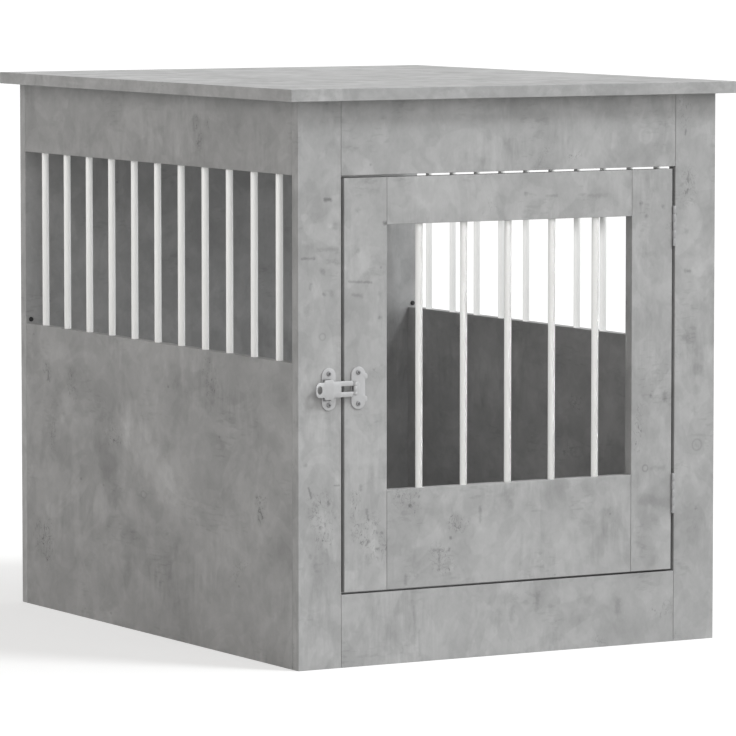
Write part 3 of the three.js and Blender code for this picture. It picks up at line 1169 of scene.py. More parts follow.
LEFT_PANEL_MARKS = (
    side_mark((300, 90), (-300, 90), 170, tone=0.035),
    side_mark((92, 330), (70, 262), 24, tone=0.09),
    side_mark((60, 262), (-20, 205), 38, tone=0.13),
    side_mark((20, 232), (-56, 178), 30, tone=0.08),
    side_mark((-30, 280), (-26, 305), 38, tone=0.11),
    side_mark((148, 245), (114, 178), 34, tone=-0.15),
    side_mark((60, 115), (-45, 105), 42, tone=-0.11),
    side_mark((222, 200), (214, 90), 18, tone=0.12),
    side_mark((255, 340), (240, 250), 28, tone=0.08),
    side_mark((-265, 130), (-262, 150), 42, tone=0.1),
    side_mark((-190, 250), (-215, 225), 60, tone=-0.05),
    side_mark((-70, 372), (20, 366), 30, tone=0.08),
    side_mark((-120, 330), (-200, 310), 30, tone=-0.07),
    side_mark((140, 30), (90, 60), 26, tone=-0.09),
    side_mark((318, 100), (306, 80), 36, tone=-0.06, scar=1.0),
    side_mark((303, 325), (303, 315), 16, tone=-0.08, scar=1.0),
    side_mark((232, 312), (228, 296), 15, tone=-0.06, scar=0.9),
    side_mark((287, 245), (285, 225), 16, tone=-0.08, scar=1.0),
    side_mark((-150, 352), (-160, 335), 24, tone=-0.08, scar=0.9),
    side_mark((-286, 200), (-286, 180), 16, tone=-0.08, scar=1.0),
)
LEFT_RAIL_MARKS = (
    side_mark((-118, 662), (-118, 660), 12, tone=-0.12, scar=1.0),
    side_mark((-147, 664), (-147, 661), 11, tone=-0.1, scar=0.9),
    side_mark((-129, 640), (-129, 637), 13, tone=-0.12, scar=1.0),
    side_mark((60, 650), (10, 640), 36, tone=0.1),
    side_mark((-250, 640), (-280, 650), 34, tone=0.08),
)
def front_marks(*rows: tuple[float, float, float, float, float, float]) -> tuple[Mark, ...]:
    """Places soft marks on the front: X and Z of one end and of the other, reach, and tone."""
    return tuple(front_mark((a, b), (c, d), reach, tone) for a, b, c, d, reach, tone in rows)


FRONT_LEFT_STILE_MARKS = (
    front_mark((-272, 204), (-266, 166), 25, scar=1.0),
    front_mark((-280, 140), (-262, 120), 30, tone=-0.07),
    front_mark((-275, 300), (-270, 270), 22, tone=0.07),
    *front_marks(
        (-265, 575, -257, 575, 3.6, -0.42),
        (-297, 542, -297, 542, 4.5, -0.18),
        (-297, 504, -280, 504, 2.8, -0.26),
        (-273, 515, -247, 514, 4.5, -0.12),
        (-270, 489, -267, 486, 5.0, -0.16),
        (-285, 472, -286, 467, 3.6, -0.24),
        (-267, 460, -265, 459, 3.6, -0.28),
        (-255, 462, -255, 459, 5.5, -0.16),
        (-291, 445, -290, 437, 6.5, -0.14),
        (-250, 499, -250, 499, 6.0, -0.14),
        (-251, 545, -251, 541, 5.5, -0.14),
        (-292, 252, -292, 252, 4.0, -0.25),
        (-288, 224, -284, 212, 2.6, -0.32),
        (-261, 205, -260, 203, 4.0, -0.28),
        (-265, 179, -265, 176, 2.8, -0.35),
        (-272, 174, -272, 173, 3.4, -0.28),
        (-252, 225, -245, 225, 1.8, -0.3),
        (-286, 141, -286, 139, 4.0, -0.16),
        (-289, 164, -251, 161, 9.0, -0.07),
        (-258, 543, -258, 543, 4.5, 0.14),
    ),
)
FRONT_RIGHT_STILE_MARKS = (
    front_mark((277, 249), (277, 249), 7, tone=-0.16, ring=2.4),
    front_mark((262, 590), (262, 560), 18, scar=0.7),
    *front_marks(
        (277, 249, 277, 249, 6.0, -0.1),
        (272, 470, 262, 420, 26.0, 0.1),
        (258, 649, 257, 643, 2.6, -0.3),
        (260, 521, 260, 521, 5.5, -0.2),
        (258, 471, 265, 470, 4.0, -0.26),
        (278, 347, 278, 345, 8.0, -0.14),
        (275, 319, 275, 317, 9.0, -0.1),
        (272, 293, 274, 291, 7.0, -0.18),
        (276, 168, 276, 168, 3.4, -0.26),
        (263, 377, 266, 330, 26.0, -0.06),
        (266, 545, 268, 500, 18.0, 0.07),
    ),
)
FRONT_TOP_RAIL_MARKS = (
    front_mark((86, 619), (100, 621), 7, scar=1.0),
    front_mark((198, 643), (198, 643), 9, tone=0.08, ring=3.0),
    front_mark((148, 632), (148, 632), 8, tone=0.09),
)
FRONT_BOTTOM_RAIL_MARKS = front_marks(
    (-25, 70, -22, 45, 14.0, -0.1),
    (3, 58, 1, 43, 6.0, -0.14),
    (41, 73, 38, 53, 5.0, -0.12),
    (159, 58, 159, 43, 7.0, -0.14),
    (-139, 69, -138, 15, 2.8, -0.12),
    (-131, 39, -131, 8, 3.6, -0.12),
    (103, 62, 117, 63, 9.0, -0.07),
)
DOOR_LEFT_STILE_MARKS = (
    front_mark((-208, 168), (-186, 146), 28, scar=1.0),
    front_mark((-223, 210), (-222, 190), 11, scar=0.8),
    *front_marks(
        (-208, 570, -208, 125, 80.0, 0.05),
        (-227, 585, -192, 584, 7.0, -0.1),
        (-219, 560, -219, 560, 5.5, -0.18),
        (-218, 511, -218, 511, 4.5, -0.3),
        (-182, 544, -179, 544, 4.0, -0.5),
        (-231, 474, -200, 472, 2.8, -0.26),
        (-226, 458, -213, 456, 4.2, -0.18),
        (-210, 484, -185, 483, 6.0, -0.1),
        (-188, 429, -188, 429, 4.2, -0.24),
        (-189, 457, -189, 457, 5.0, -0.16),
        (-215, 222, -215, 218, 3.8, -0.28),
        (-207, 193, -204, 180, 2.8, -0.28),
        (-185, 163, -185, 163, 3.6, -0.3),
        (-207, 150, -203, 154, 3.0, -0.3),
        (-193, 144, -189, 144, 3.0, -0.3),
        (-229, 247, -200, 246, 6.5, -0.08),
        (-205, 136, -205, 128, 7.0, -0.12),
        (-216, 502, -208, 490, 12.0, 0.08),
    ),
)
DOOR_RIGHT_STILE_MARKS = (
    front_mark((199, 223), (199, 223), 4, tone=-0.2, ring=2.0),
    front_mark((190, 300), (186, 250), 10, scar=0.8),
    *front_marks(
        (191, 558, 191, 558, 4.2, -0.26),
        (199, 542, 199, 542, 4.2, -0.26),
        (224, 553, 224, 553, 4.2, -0.22),
        (209, 574, 207, 570, 6.0, -0.14),
        (194, 494, 212, 494, 6.0, -0.1),
        (207, 314, 207, 314, 4.2, -0.24),
        (228, 316, 228, 308, 5.5, -0.2),
        (209, 223, 227, 222, 5.0, -0.15),
        (195, 183, 234, 178, 10.0, -0.1),
    ),
)
DOOR_TOP_RAIL_MARKS = front_marks(
    (-180, 571, 180, 571, 80.0, 0.05),
    (21, 575, 21, 575, 4.5, -0.26),
    (51, 571, 67, 571, 3.0, -0.2),
    (105, 570, 139, 569, 4.5, -0.12),
    (-16, 605, -16, 598, 8.0, -0.08),
    (-81, 565, -81, 565, 8.0, 0.08),
)
DOOR_BOTTOM_RAIL_MARKS = (
    front_mark((-146, 199), (-142, 194), 15, tone=-0.05, scar=1.0),
    front_mark((-78, 170), (-72, 165), 16, tone=-0.05, scar=1.0),
    front_mark((-110, 132), (-95, 118), 20, scar=0.9),
    *front_marks(
        (-60, 192, 60, 198, 24.0, -0.08),
        (20, 130, 90, 120, 34.0, 0.05),
        (-130, 160, -100, 175, 24.0, 0.08),
        (-145, 195, -145, 195, 4.2, -0.4),
        (-161, 207, -161, 207, 3.4, -0.28),
        (-132, 205, -132, 205, 3.0, -0.3),
        (-44, 187, -44, 169, 3.6, -0.24),
        (-103, 136, -103, 112, 2.8, -0.24),
        (-111, 138, -99, 137, 3.0, -0.24),
        (-87, 152, -87, 151, 3.0, -0.3),
        (-89, 138, -89, 136, 3.4, -0.28),
        (-151, 108, -151, 99, 4.5, -0.18),
        (-4, 196, 2, 187, 6.0, -0.14),
        (123, 159, 126, 130, 26.0, -0.09),
        (17, 149, 14, 105, 3.4, -0.1),
    ),
)


@dataclass
class Body:
    """The table top, the back wall, the crate's floor and the two sides."""

    bars_in_side: int = 11
    pin_radius: float = 3.12 * MM
    cap_rim: float = 0.5 * MM
    side_spread: tuple[float, float, float] = (1.0, 0.6, 1.0)

    def build(self, finishes: Finishes) -> list[list[bpy.types.Object]]:
        """Makes and dresses the body.

        Args:
            finishes: The table's finishes.

        Returns:
            The bars of the left side and of the right side.
        """
        bars: list[list[bpy.types.Object]] = []
        pins = tuple(seat(f"back_pin_{side}", Axis.Y, self.pin_radius) for side in ("left", "right"))
        Board("top_board", Grain.DEEP, (0.3, 1.1, 2.0)).build(finishes)
        Board("back_panel", Grain.UPRIGHT, (4.2, 0.4, 0.7), pins).build(finishes)
        Board("floor_panel", Grain.DEEP, (1.9, 3.3, 0.2)).build(finishes)
        for side, cut, rail_marks, panel_marks in (
            ("left", 5.3, LEFT_RAIL_MARKS, LEFT_PANEL_MARKS),
            ("right", 7.9, (), ()),
        ):
            nodes = numbered(f"{side}_bar", self.bars_in_side)
            seats = tuple(seat(node) for node in nodes)
            Board(f"{side}_top_rail", Grain.UPRIGHT, (cut, 2.2, 0.1), seats, rail_marks, self.side_spread).build(finishes)
            Board(f"{side}_panel", Grain.UPRIGHT, (cut, 0.8, 3.1), seats, panel_marks, self.side_spread).build(finishes)
            bars.append(Bars(nodes).build(finishes))
            self.wall_pin(f"back_pin_{side}", finishes)
        return bars

    def wall_pin(self, node: str, finishes: Finishes) -> bpy.types.Object:
        """Makes and dresses a pin of the back wall, its head rounded.

        Args:
            node: The pin's CAD node.
            finishes: The table's finishes.

        Returns:
            The pin.
        """
        low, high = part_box(node)
        origin = middle(node)
        origin.y = low.y
        profile = rod_profile((high.x - low.x) / 2, high.y - low.y, self.cap_rim)
        form = turned(profile, origin, Axis.Y.vector, 32)
        return add_piece(node + FINISHED, form, [finishes.plastic], BODY_OF_NODE[node], Slot.PLASTIC, [node])


@dataclass
class FrontFrame:
    """The two stiles and two rails round the doorway."""

    hinges: tuple["ButtHinge", ...]
    screw_bore: float = 1.65 * MM

    def build(self, finishes: Finishes) -> None:
        """Makes and dresses the front frame."""
        screws = tuple(
            seat(f"frame_plate_screw_{place}", Axis.Y, self.screw_bore) for place in ("top", "bottom")
        )
        Board("front_left_stile", Grain.UPRIGHT, (2.1, 5.2, 1.3), screws, FRONT_LEFT_STILE_MARKS).build(finishes)
        leaf_screws = tuple(bore for hinge in self.hinges for bore in hinge.bores(1))
        Board("front_right_stile", Grain.UPRIGHT, (3.7, 6.1, 0.4), leaf_screws, FRONT_RIGHT_STILE_MARKS).build(finishes)
        Board("front_top_rail", Grain.UPRIGHT, (0.9, 7.4, 2.6), (), FRONT_TOP_RAIL_MARKS).build(finishes)
        Board("front_bottom_rail", Grain.UPRIGHT, (6.4, 8.3, 1.7), (), FRONT_BOTTOM_RAIL_MARKS).build(finishes)


@dataclass
class Door:
    """The door's stiles, rails and bars."""

    hinges: tuple["ButtHinge", ...]
    bar_count: int = 5
    screw_bore: float = 1.65 * MM

    def build(self, finishes: Finishes) -> list[bpy.types.Object]:
        """Makes and dresses the door.

        Args:
            finishes: The table's finishes.

        Returns:
            Its bars.
        """
        nodes = numbered("door_bar", self.bar_count)
        seats = tuple(seat(node) for node in nodes)
        screws = tuple(
            seat(f"door_plate_screw_{place}", Axis.Y, self.screw_bore) for place in ("top", "bottom")
        )
        Board("door_left_stile", Grain.UPRIGHT, (8.6, 1.5, 2.9), screws, DOOR_LEFT_STILE_MARKS).build(finishes)
        leaf_screws = tuple(bore for hinge in self.hinges for bore in hinge.bores(-1))
        Board("door_right_stile", Grain.UPRIGHT, (9.2, 2.7, 0.8), leaf_screws, DOOR_RIGHT_STILE_MARKS).build(finishes)
        Board("door_top_rail", Grain.UPRIGHT, (1.4, 9.6, 3.5), seats, DOOR_TOP_RAIL_MARKS).build(finishes)
        Board("door_bottom_rail", Grain.UPRIGHT, (5.8, 10.1, 1.2), seats, DOOR_BOTTOM_RAIL_MARKS).build(finishes)
        return Bars(nodes).build(finishes)


# ---------------------------------------------------------------- hinges, latch and screws


@dataclass(frozen=True)
class CrossScrew:
    """A screw with a cross recess in its head."""

    head_radius: float
    head_height: float
    rim: float
    shank_radius: float
    length: float
    recess_reach: float
    recess_width: float
    recess_depth: float
    sunk: bool = False
    tip: float = 3.0 * MM
    facets: int = 32

    def profile(self) -> list[tuple[float, float]]:
        """Gives the screw's profile, its head's underside or flat face at 0.

        Returns:
            Pairs of a radius and a distance out of the board.
        """
        shank = [(0.0, -self.length), (0.4 * MM, -self.length), (self.shank_radius, self.tip - self.length)]
        if self.sunk:
            crown = [(self.shank_radius, -self.head_height), (self.head_radius, -self.rim), (self.head_radius, 0.0)]
            return [*shank, *crown, (0.0, 0.0)]
        steps = 5
        rise = self.head_height - self.rim
        dome = [
            (
                self.head_radius * math.cos(i * math.pi / 2 / steps),
                self.rim + rise * math.sin(i * math.pi / 2 / steps),
            )
            for i in range(steps + 1)
        ]
        dome[-1] = (0.0, self.head_height)
        return [*shank, (self.shank_radius, 0.0), (self.head_radius, 0.0), *dome]

    def form(self, origin: Vector, out: Vector, twist: float) -> BMesh:
        """Makes the screw.

        Args:
            origin: The middle of its head's underside, or of its face where it is sunk.
            out: The direction that its head faces.
            twist: How far the recess is turned.

        Returns:
            The screw, the faces of its recess numbered 1, for the painted shade in the recess.
        """
        screw = turned(self.profile(), Vector(), Axis.Z.vector, self.facets)
        top = 0.0 if self.sunk else self.head_height
        for turn in (0.0, math.pi / 2):
            half = Vector((self.recess_reach, self.recess_width / 2, self.recess_depth))
            bar = block(-half, half)
            for face in bar.faces:
                face.material_index = 1
            matrix = Matrix.Translation((0.0, 0.0, top)) @ Matrix.Rotation(turn + twist, 4, "Z")
            bmesh.ops.transform(bar, matrix=matrix, verts=bar.verts)
            screw = combined(screw, bar, Operation.CUT)
        place = Matrix.Translation(origin) @ out.to_track_quat("Z", "Y").to_matrix().to_4x4()
        bmesh.ops.transform(screw, matrix=place, verts=screw.verts)
        return screw


LEAF_SCREW = CrossScrew(
    head_radius=2.5 * MM,
    head_height=1.2 * MM,
    rim=0.2 * MM,
    shank_radius=1.2 * MM,
    length=11.0 * MM,
    recess_reach=1.4 * MM,
    recess_width=0.6 * MM,
    recess_depth=0.8 * MM,
    sunk=True,
)
PLATE_SCREW = CrossScrew(
    head_radius=3.2 * MM,
    head_height=1.5 * MM,
    rim=0.5 * MM,
    shank_radius=1.5 * MM,
    length=13.0 * MM,
    recess_reach=1.8 * MM,
    recess_width=0.9 * MM,
    recess_depth=0.9 * MM,
)


@dataclass
class ButtHinge:
    """A butt hinge: two leaves rolled round a pin, each on the edge of a board."""

    place: str
    knuckles: int = 5
    knuckle_gap: float = 0.3 * MM
    knuckle_rim: float = 0.3 * MM
    bore: float = 1.22 * MM
    leaf_thickness: float = 1.4 * MM
    leaf_corner: float = 2.0 * MM
    leaf_edge: float = 0.2 * MM
    screw_spread: float = 17.5 * MM
    screw_stagger: float = 1.6 * MM
    pin_rim: float = 0.3 * MM

    def __post_init__(self) -> None:
        """Reads where the hinge is from the frame."""
        self.pin_low, self.pin_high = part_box(f"hinge_{self.place}_pin")
        self.centre = (self.pin_low + self.pin_high) / 2

    def screw_places(self, side: int) -> list[Vector]:
        """Gives the middles of a leaf's screw heads.

        Args:
            side: 1 for the leaf on the frame, -1 for the one on the door.

        Returns:
            One point on the leaf's free face for each screw.
        """
        low, high = self.leaf_plate(side)
        face = low.x if side > 0 else high.x
        middle_y = (low.y + high.y) / 2
        return [
            Vector((face, middle_y + stagger * self.screw_stagger, self.centre.z + row * self.screw_spread))
            for row, stagger in ((-1, 0), (0, 1), (1, 0))
        ]

    def bores(self, side: int) -> tuple[Bore, ...]:
        """Gives the holes for a leaf's screws in its board.

        Args:
            side: 1 for the board of the frame, -1 for the door's.

        Returns:
            The holes.
        """
        reach = LEAF_SCREW.length + 0.3 * MM
        radius = LEAF_SCREW.shank_radius + 0.12 * MM
        return tuple(
            Bore(place, Axis.X, radius, *sorted((place.x, place.x + side * reach)))
            for place in self.screw_places(side)
        )

    def leaf_plate(self, side: int) -> tuple[Vector, Vector]:
        """Gives the box of a leaf's flat part.

        Args:
            side: 1 for the leaf on the frame, -1 for the one on the door.

        Returns:
            Its lowest and highest corner.
        """
        low, high = (corner.copy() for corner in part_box(self.leaf_node(side)))
        outer = high.x if side > 0 else low.x
        low.x, high.x = sorted((outer, outer - side * self.leaf_thickness))
        low.y = self.pin_high.y + 2 * self.knuckle_gap + self.bore - self.knuckle_gap
        return low, high

    def leaf_node(self, side: int) -> str:
        """Names the CAD node of a leaf."""
        return f"hinge_{self.place}_{'frame' if side > 0 else 'door'}_leaf"

    def leaf(self, side: int) -> BMesh:
        """Makes one leaf, its knuckles taking turns with the other's.

        Args:
            side: 1 for the leaf on the frame, -1 for the one on the door.

        Returns:
            The leaf's form.
        """
        low, high = self.leaf_plate(side)
        form = block(low, high)
        corners = [e for e in form.edges if runs_along(e, Axis.X) and e.verts[0].co.y > low.y + WELD]
        ease(form, corners, self.leaf_corner, 6)
        flat_rims = [e for e in form.edges if e.is_manifold and e.calc_face_angle() > SHARP_ANGLE]
        ease(form, flat_rims, self.leaf_edge, 2)
        knuckle_low, knuckle_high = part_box(self.leaf_node(side))
        radius = self.centre.y - knuckle_low.y
        pitch = (self.pin_high.z - self.pin_low.z) / self.knuckles
        for i in range(0 if side > 0 else 1, self.knuckles, 2):
            bottom = self.pin_low.z + i * pitch + (self.knuckle_gap / 2 if i else 0.0)
            top = self.pin_low.z + (i + 1) * pitch - (self.knuckle_gap / 2 if i < self.knuckles - 1 else 0.0)
            tab = block(
                Vector((low.x, self.centre.y, bottom)),
                Vector((high.x, low.y + self.knuckle_gap * 2, top)),
            )
            form = combined(form, tab, Operation.JOIN)
            origin = Vector((self.centre.x, self.centre.y, bottom))
            knuckle = turned(
                rod_profile(radius, top - bottom, self.knuckle_rim), origin, Axis.Z.vector, 28
            )
            form = combined(form, knuckle, Operation.JOIN)
        past = 1.0 * MM
        origin = Vector((self.centre.x, self.centre.y, self.pin_low.z - past))
        length = self.pin_high.z - self.pin_low.z + 2 * past
        drill = turned([(0.0, 0.0), (self.bore, 0.0), (self.bore, length), (0.0, length)], origin, Axis.Z.vector, 28)
        form = combined(form, drill, Operation.CUT)
        sinks = []
        for place in self.screw_places(side):
            head, rim = LEAF_SCREW.head_radius + 0.1 * MM, 0.25 * MM
            shank = LEAF_SCREW.shank_radius + 0.12 * MM
            profile = [
                (0.0, -past),
                (head, -past),
                (head, rim),
                (shank, LEAF_SCREW.head_height + 0.1 * MM),
                (shank, self.leaf_thickness + past),
                (0.0, self.leaf_thickness + past),
            ]
            sinks.append(turned(profile, place, Axis.X.vector * side, 28))
        return combined(form, gathered(sinks), Operation.CUT)

    def build(self, finishes: Finishes) -> None:
        """Makes and dresses the hinge."""
        for side in (1, -1):
            node = self.leaf_node(side)
            body = BODY_OF_NODE[node]
            add_piece(node + FINISHED, self.leaf(side), [finishes.hinge], body, Slot.ZINC, [node])
            screws = gathered(
                LEAF_SCREW.form(place, Axis.X.vector * -side, 0.4 + i)
                for i, place in enumerate(self.screw_places(side))
            )
            # The second material paints shade in the screws' cross recesses.
            add_piece(f"{node}_screws", screws, [finishes.screw, finishes.painted_recess_shade], body, Slot.ZINC)
        node = f"hinge_{self.place}_pin"
        radius = (self.pin_high.x - self.pin_low.x) / 2
        profile = rod_profile(radius, self.pin_high.z - self.pin_low.z, self.pin_rim)
        origin = Vector((self.centre.x, self.centre.y, self.pin_low.z))
        pin = turned(profile, origin, Axis.Z.vector, 24)
        add_piece(node + FINISHED, pin, [finishes.hinge], BODY_OF_NODE[node], Slot.ZINC, [node])


def runs_along(edge: bmesh.types.BMEdge, axis: Axis) -> bool:
    """Tells whether an edge runs along an axis."""
    return abs((edge.verts[1].co - edge.verts[0].co).normalized()[axis.value]) > 0.999


@dataclass
class FlipLatch:
    """The latch: a plate on the frame, one on the door, and an arm on a pin between them."""

    plate_thickness: float = 1.5 * MM
    plate_width: float = 19.4 * MM
    plate_corner: float = 9.5 * MM
    plate_edge: float = 0.4 * MM
    ear_low: float = 10.4 * MM
    ear_high: float = 17.4 * MM
    ear_corner: float = 2.4 * MM
    ear_root: float = 1.0 * MM
    screw_hole: float = 1.65 * MM
    stud_radius: float = 3.6 * MM
    barrel_radius: float = 2.7 * MM
    knuckle_radius: float = 2.4 * MM
    barrel_height: float = 15.2 * MM
    barrel_bore: float = 1.52 * MM
    pin_radius: float = 1.4 * MM
    pin_head_radius: float = 2.2 * MM
    pin_head: float = 0.8 * MM
    arm_thickness: float = 1.6 * MM
    arm_height: float = 19.4 * MM
    arm_root: float = 3.2 * MM
    arm_shoulder: float = 5.4 * MM
    slot_height: float = 7.2 * MM
    slot_length: float = 18.0 * MM
    head_right_of_stud: float = 2.8 * MM
    head_width: float = 12.4 * MM
    head_height: float = 24.4 * MM
    tab_length: float = 13.0 * MM
    tab_height: float = 18.4 * MM
    tab_rise: float = 2.8 * MM
    tab_corner: float = 6.0 * MM
    head_corner: float = 2.2 * MM
    arm_edge: float = 0.3 * MM
    clearance: float = 0.3 * MM
    bend_step: float = 1.0 * MM
    grip_width: float = 8.2 * MM
    grip_height: float = 10.2 * MM
    grip_from_head: float = 7.2 * MM
    hook_width: float = 4.6 * MM
    hook_from_pin: float = 0.2 * MM
    pocket_depth: float = 1.1 * MM
    pocket_left: float = 8.4 * MM
    pocket_right: float = -2.4 * MM
    pocket_low: float = 14.4 * MM
    pocket_high: float = 12.3 * MM
    rest_right_of_pin: float = 8.4 * MM
    rest_height: float = 17.0 * MM
    rest_thickness: float = 1.0 * MM

    def __post_init__(self) -> None:
        """Reads where the latch is from the frame."""
        self.frame_low, self.frame_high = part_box("latch_frame_plate")
        self.door_low, self.door_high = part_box("latch_door_plate")
        self.pin = middle("latch_pin")
        self.plate_back = self.frame_high.y
        self.plate_front = self.plate_back - self.plate_thickness
        self.plate_half = (self.frame_high.z - self.frame_low.z) / 2
        self.stud = (self.frame_low.x + self.frame_high.x) / 2
        self.stud_top = self.frame_low.y
        self.head_right = self.stud + self.head_right_of_stud
        self.head_left = self.head_right - self.head_width
        self.tab_left = self.head_left - self.tab_length
        self.head_back = self.stud_top - self.clearance

    def plate(self, upper: Sequence[Corner], screws: Sequence[str]) -> BMesh:
        """Makes a plate with an eased rim and screw holes.

        Args:
            upper: The corners of its upper half, above the height of the pin.
            screws: The CAD nodes of its screws.

        Returns:
            The plate.
        """
        form = flat_shape(both_halves(upper, self.pin.z))
        bmesh.ops.translate(form, vec=(0.0, self.plate_back, 0.0), verts=form.verts)
        thicken(form, self.plate_thickness)
        rim = [e for e in form.edges if all(v.co.y < self.plate_front + WELD for v in e.verts)]
        ease(form, rim, self.plate_edge, 3)
        holes = [seat(node, Axis.Y, self.screw_hole).tool(self.frame_low, self.door_high) for node in screws]
        return combined(form, gathered(holes), Operation.CUT)

    def frame_plate(self) -> BMesh:
        """Makes the plate on the frame, with the stud that the arm snaps over.

        Returns:
            The plate.
        """
        half = self.plate_width / 2
        upper = [
            (self.stud + half, self.plate_half, self.plate_corner),
            (self.stud - half, self.plate_half, self.plate_corner),
        ]
        form = self.plate(upper, ["frame_plate_screw_top", "frame_plate_screw_bottom"])
        # A pocket behind the arm's head, in the darker zinc as painted shade under the head.
        form = combined(form, self.painted_shade_pocket(), Operation.CUT)
        sink = 0.5 * MM
        length = self.plate_front + sink - self.stud_top
        origin = Vector((self.stud, self.stud_top, self.pin.z))
        stud = turned(rod_profile(self.stud_radius, length, 0.45 * MM), origin, Axis.Y.vector, 32)
        return combined(form, stud, Operation.JOIN)

    def door_plate(self) -> BMesh:
        """Makes the plate on the door, with ears, a punched hook whose faces take the darker zinc as painted shade, and
        the knuckle for the pin.

        Returns:
            The plate.
        """
        left, right = self.door_low.x, self.door_low.x + self.plate_width
        upper = [
            (right, self.ear_low, self.ear_root),
            (self.door_high.x, self.ear_low, self.ear_corner),
            (self.door_high.x, self.ear_high, self.ear_corner),
            (right, self.ear_high, 0.0),
            (right, self.plate_half, self.plate_half - self.ear_high - WELD),
            (left, self.plate_half, self.plate_corner),
        ]
        form = self.plate(upper, ["door_plate_screw_top", "door_plate_screw_bottom"])
        half, sink = self.slot_height / 2 - self.clearance, 0.5 * MM
        hole = Vector((self.pin.x + self.hook_from_pin, self.plate_front - self.pocket_depth, self.pin.z))
        painted_shade_hook = self.oval(hole, self.hook_width, 2 * half, 2 * self.pocket_depth)
        # The hook's faces take the darker zinc: painted shade left of the knuckle.
        for face in painted_shade_hook.faces:
            face.material_index = 1
        form = combined(form, painted_shade_hook, Operation.CUT)
        web = block(
            Vector((self.pin.x + self.hook_from_pin, self.pin.y, self.pin.z - half)),
            Vector((self.pin.x + self.knuckle_radius + sink, self.plate_back - sink, self.pin.z + half)),
        )
        form = combined(form, web, Operation.JOIN)
        origin = Vector((self.pin.x, self.pin.y, self.pin.z - half))
        knuckle = turned(rod_profile(self.knuckle_radius, 2 * half, 0.3 * MM), origin, Axis.Z.vector, 40)
        form = combined(form, knuckle, Operation.JOIN)
        form = combined(form, self.rest(), Operation.JOIN)
        return combined(form, self.pin_drill(), Operation.CUT)

    def rest(self) -> BMesh:
        """Makes the low round step of the door plate, to the right of the pin.

        Returns:
            The step, sunk a little in the plate.
        """
        left, right = self.pin.x + self.barrel_radius + self.clearance, self.pin.x + self.rest_right_of_pin
        half, sink = self.rest_height / 2, 0.3 * MM
        form = flat_shape(both_halves([(right, half, self.tab_corner), (left, half, 0.0)], self.pin.z))
        bmesh.ops.translate(form, vec=(0.0, self.plate_front + sink, 0.0), verts=form.verts)
        thicken(form, self.rest_thickness + sink)
        top = self.plate_front - self.rest_thickness
        ease(form, [e for e in form.edges if all(v.co.y < top + WELD for v in e.verts)], 0.5 * MM, 3)
        return form

    def painted_shade_pocket(self) -> BMesh:
        """Makes the form that sinks a pocket in the frame plate, behind the arm's head; its faces take the darker zinc
        as painted shade under the head.

        Returns:
            The form, its faces numbered 1 for the painted shade.
        """
        low = Vector((self.stud - self.pocket_left, self.plate_front - self.pocket_depth, self.pin.z - self.pocket_low))
        high = Vector((self.stud - self.pocket_right, self.plate_front + self.pocket_depth, self.pin.z + self.pocket_high))
        form = block(low, high)
        ease(form, [e for e in form.edges if runs_along(e, Axis.Y)], self.ear_root, 4)
        for face in form.faces:
            face.material_index = 1
        return form

    def oval(self, place: Vector, width: float, height: float, reach: float) -> BMesh:
        """Makes an upright oval form that cuts from front to back.

        Args:
            place: Its middle.
            width: How wide it is.
            height: How tall it is.
            reach: How far it goes to the front and to the back.

        Returns:
            The form.
        """
        profile = [(0.0, -reach), (0.5, -reach), (0.5, reach), (0.0, reach)]
        form = turned(profile, Vector(), -Axis.Y.vector, 32)
        bmesh.ops.scale(form, vec=(width, 1.0, height), verts=form.verts)
        bmesh.ops.translate(form, vec=place, verts=form.verts)
        return form

    def pin_drill(self) -> BMesh:
        """Makes the form that drills the barrel for the pin."""
        length = 2 * self.barrel_height
        origin = Vector((self.pin.x, self.pin.y, self.pin.z - length / 2))
        profile = [(0.0, 0.0), (self.barrel_bore, 0.0), (self.barrel_bore, length), (0.0, length)]
        return turned(profile, origin, Axis.Z.vector, 28)

    def pin_form(self) -> BMesh:
        """Makes the latch pin, with a domed head at each end."""
        low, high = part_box("latch_pin")
        length = high.z - low.z
        head, wide, thin = self.pin_head, self.pin_head_radius, self.pin_radius
        lower = [(0.0, 0.0), (wide * 0.45, 0.02 * MM), (wide * 0.8, head * 0.3), (wide, head)]
        upper = [(radius, length - along) for radius, along in reversed(lower)]
        origin = Vector((self.pin.x, self.pin.y, low.z))
        return turned([*lower, (thin, head), (thin, length - head), *upper], origin, Axis.Z.vector, 28)

    def arm_outline(self) -> BMesh:
        """Makes the arm's outline as one flat face, seen from the front, with its slot.

        Returns:
            The face, cut across wherever the arm bends.
        """
        z, barrel, arm = self.pin.z, self.barrel_height / 2, self.arm_height / 2
        head, tab = self.head_height / 2, self.tab_height / 2
        upper = [
            (self.pin.x, barrel, 0.0),
            (self.pin.x - self.arm_root, barrel, 0.0),
            (self.pin.x - self.arm_shoulder, arm, 0.0),
            (self.head_right, arm, 1.0 * MM),
            (self.head_right, head, self.head_corner),
            (self.head_left, head, self.head_corner),
            (self.head_left, tab, 1.0 * MM),
            (self.tab_left, tab, self.tab_corner),
        ]
        form = flat_shape(both_halves(upper, z))
        slot_left = self.pin.x - self.barrel_radius - self.slot_length
        half = self.slot_height / 2
        cuts = [((slot_left, 0, 0), (1, 0, 0)), ((0, 0, z - half), (0, 0, 1)), ((0, 0, z + half), (0, 0, 1))]
        steps = int((self.pin.x - self.tab_left) / self.bend_step)
        cuts += [((self.tab_left + (i + 0.5) * self.bend_step, 0, 0), (1, 0, 0)) for i in range(steps)]
        for point, normal in cuts:
            bmesh.ops.bisect_plane(
                form,
                geom=[*form.verts, *form.edges, *form.faces],
                dist=WELD,
                plane_co=point,
                plane_no=normal,
            )
        slot = [
            face
            for face in form.faces
            if face.calc_center_median().x > slot_left and abs(face.calc_center_median().z - z) < half
        ]
        bmesh.ops.delete(form, geom=slot, context="FACES")
        return form

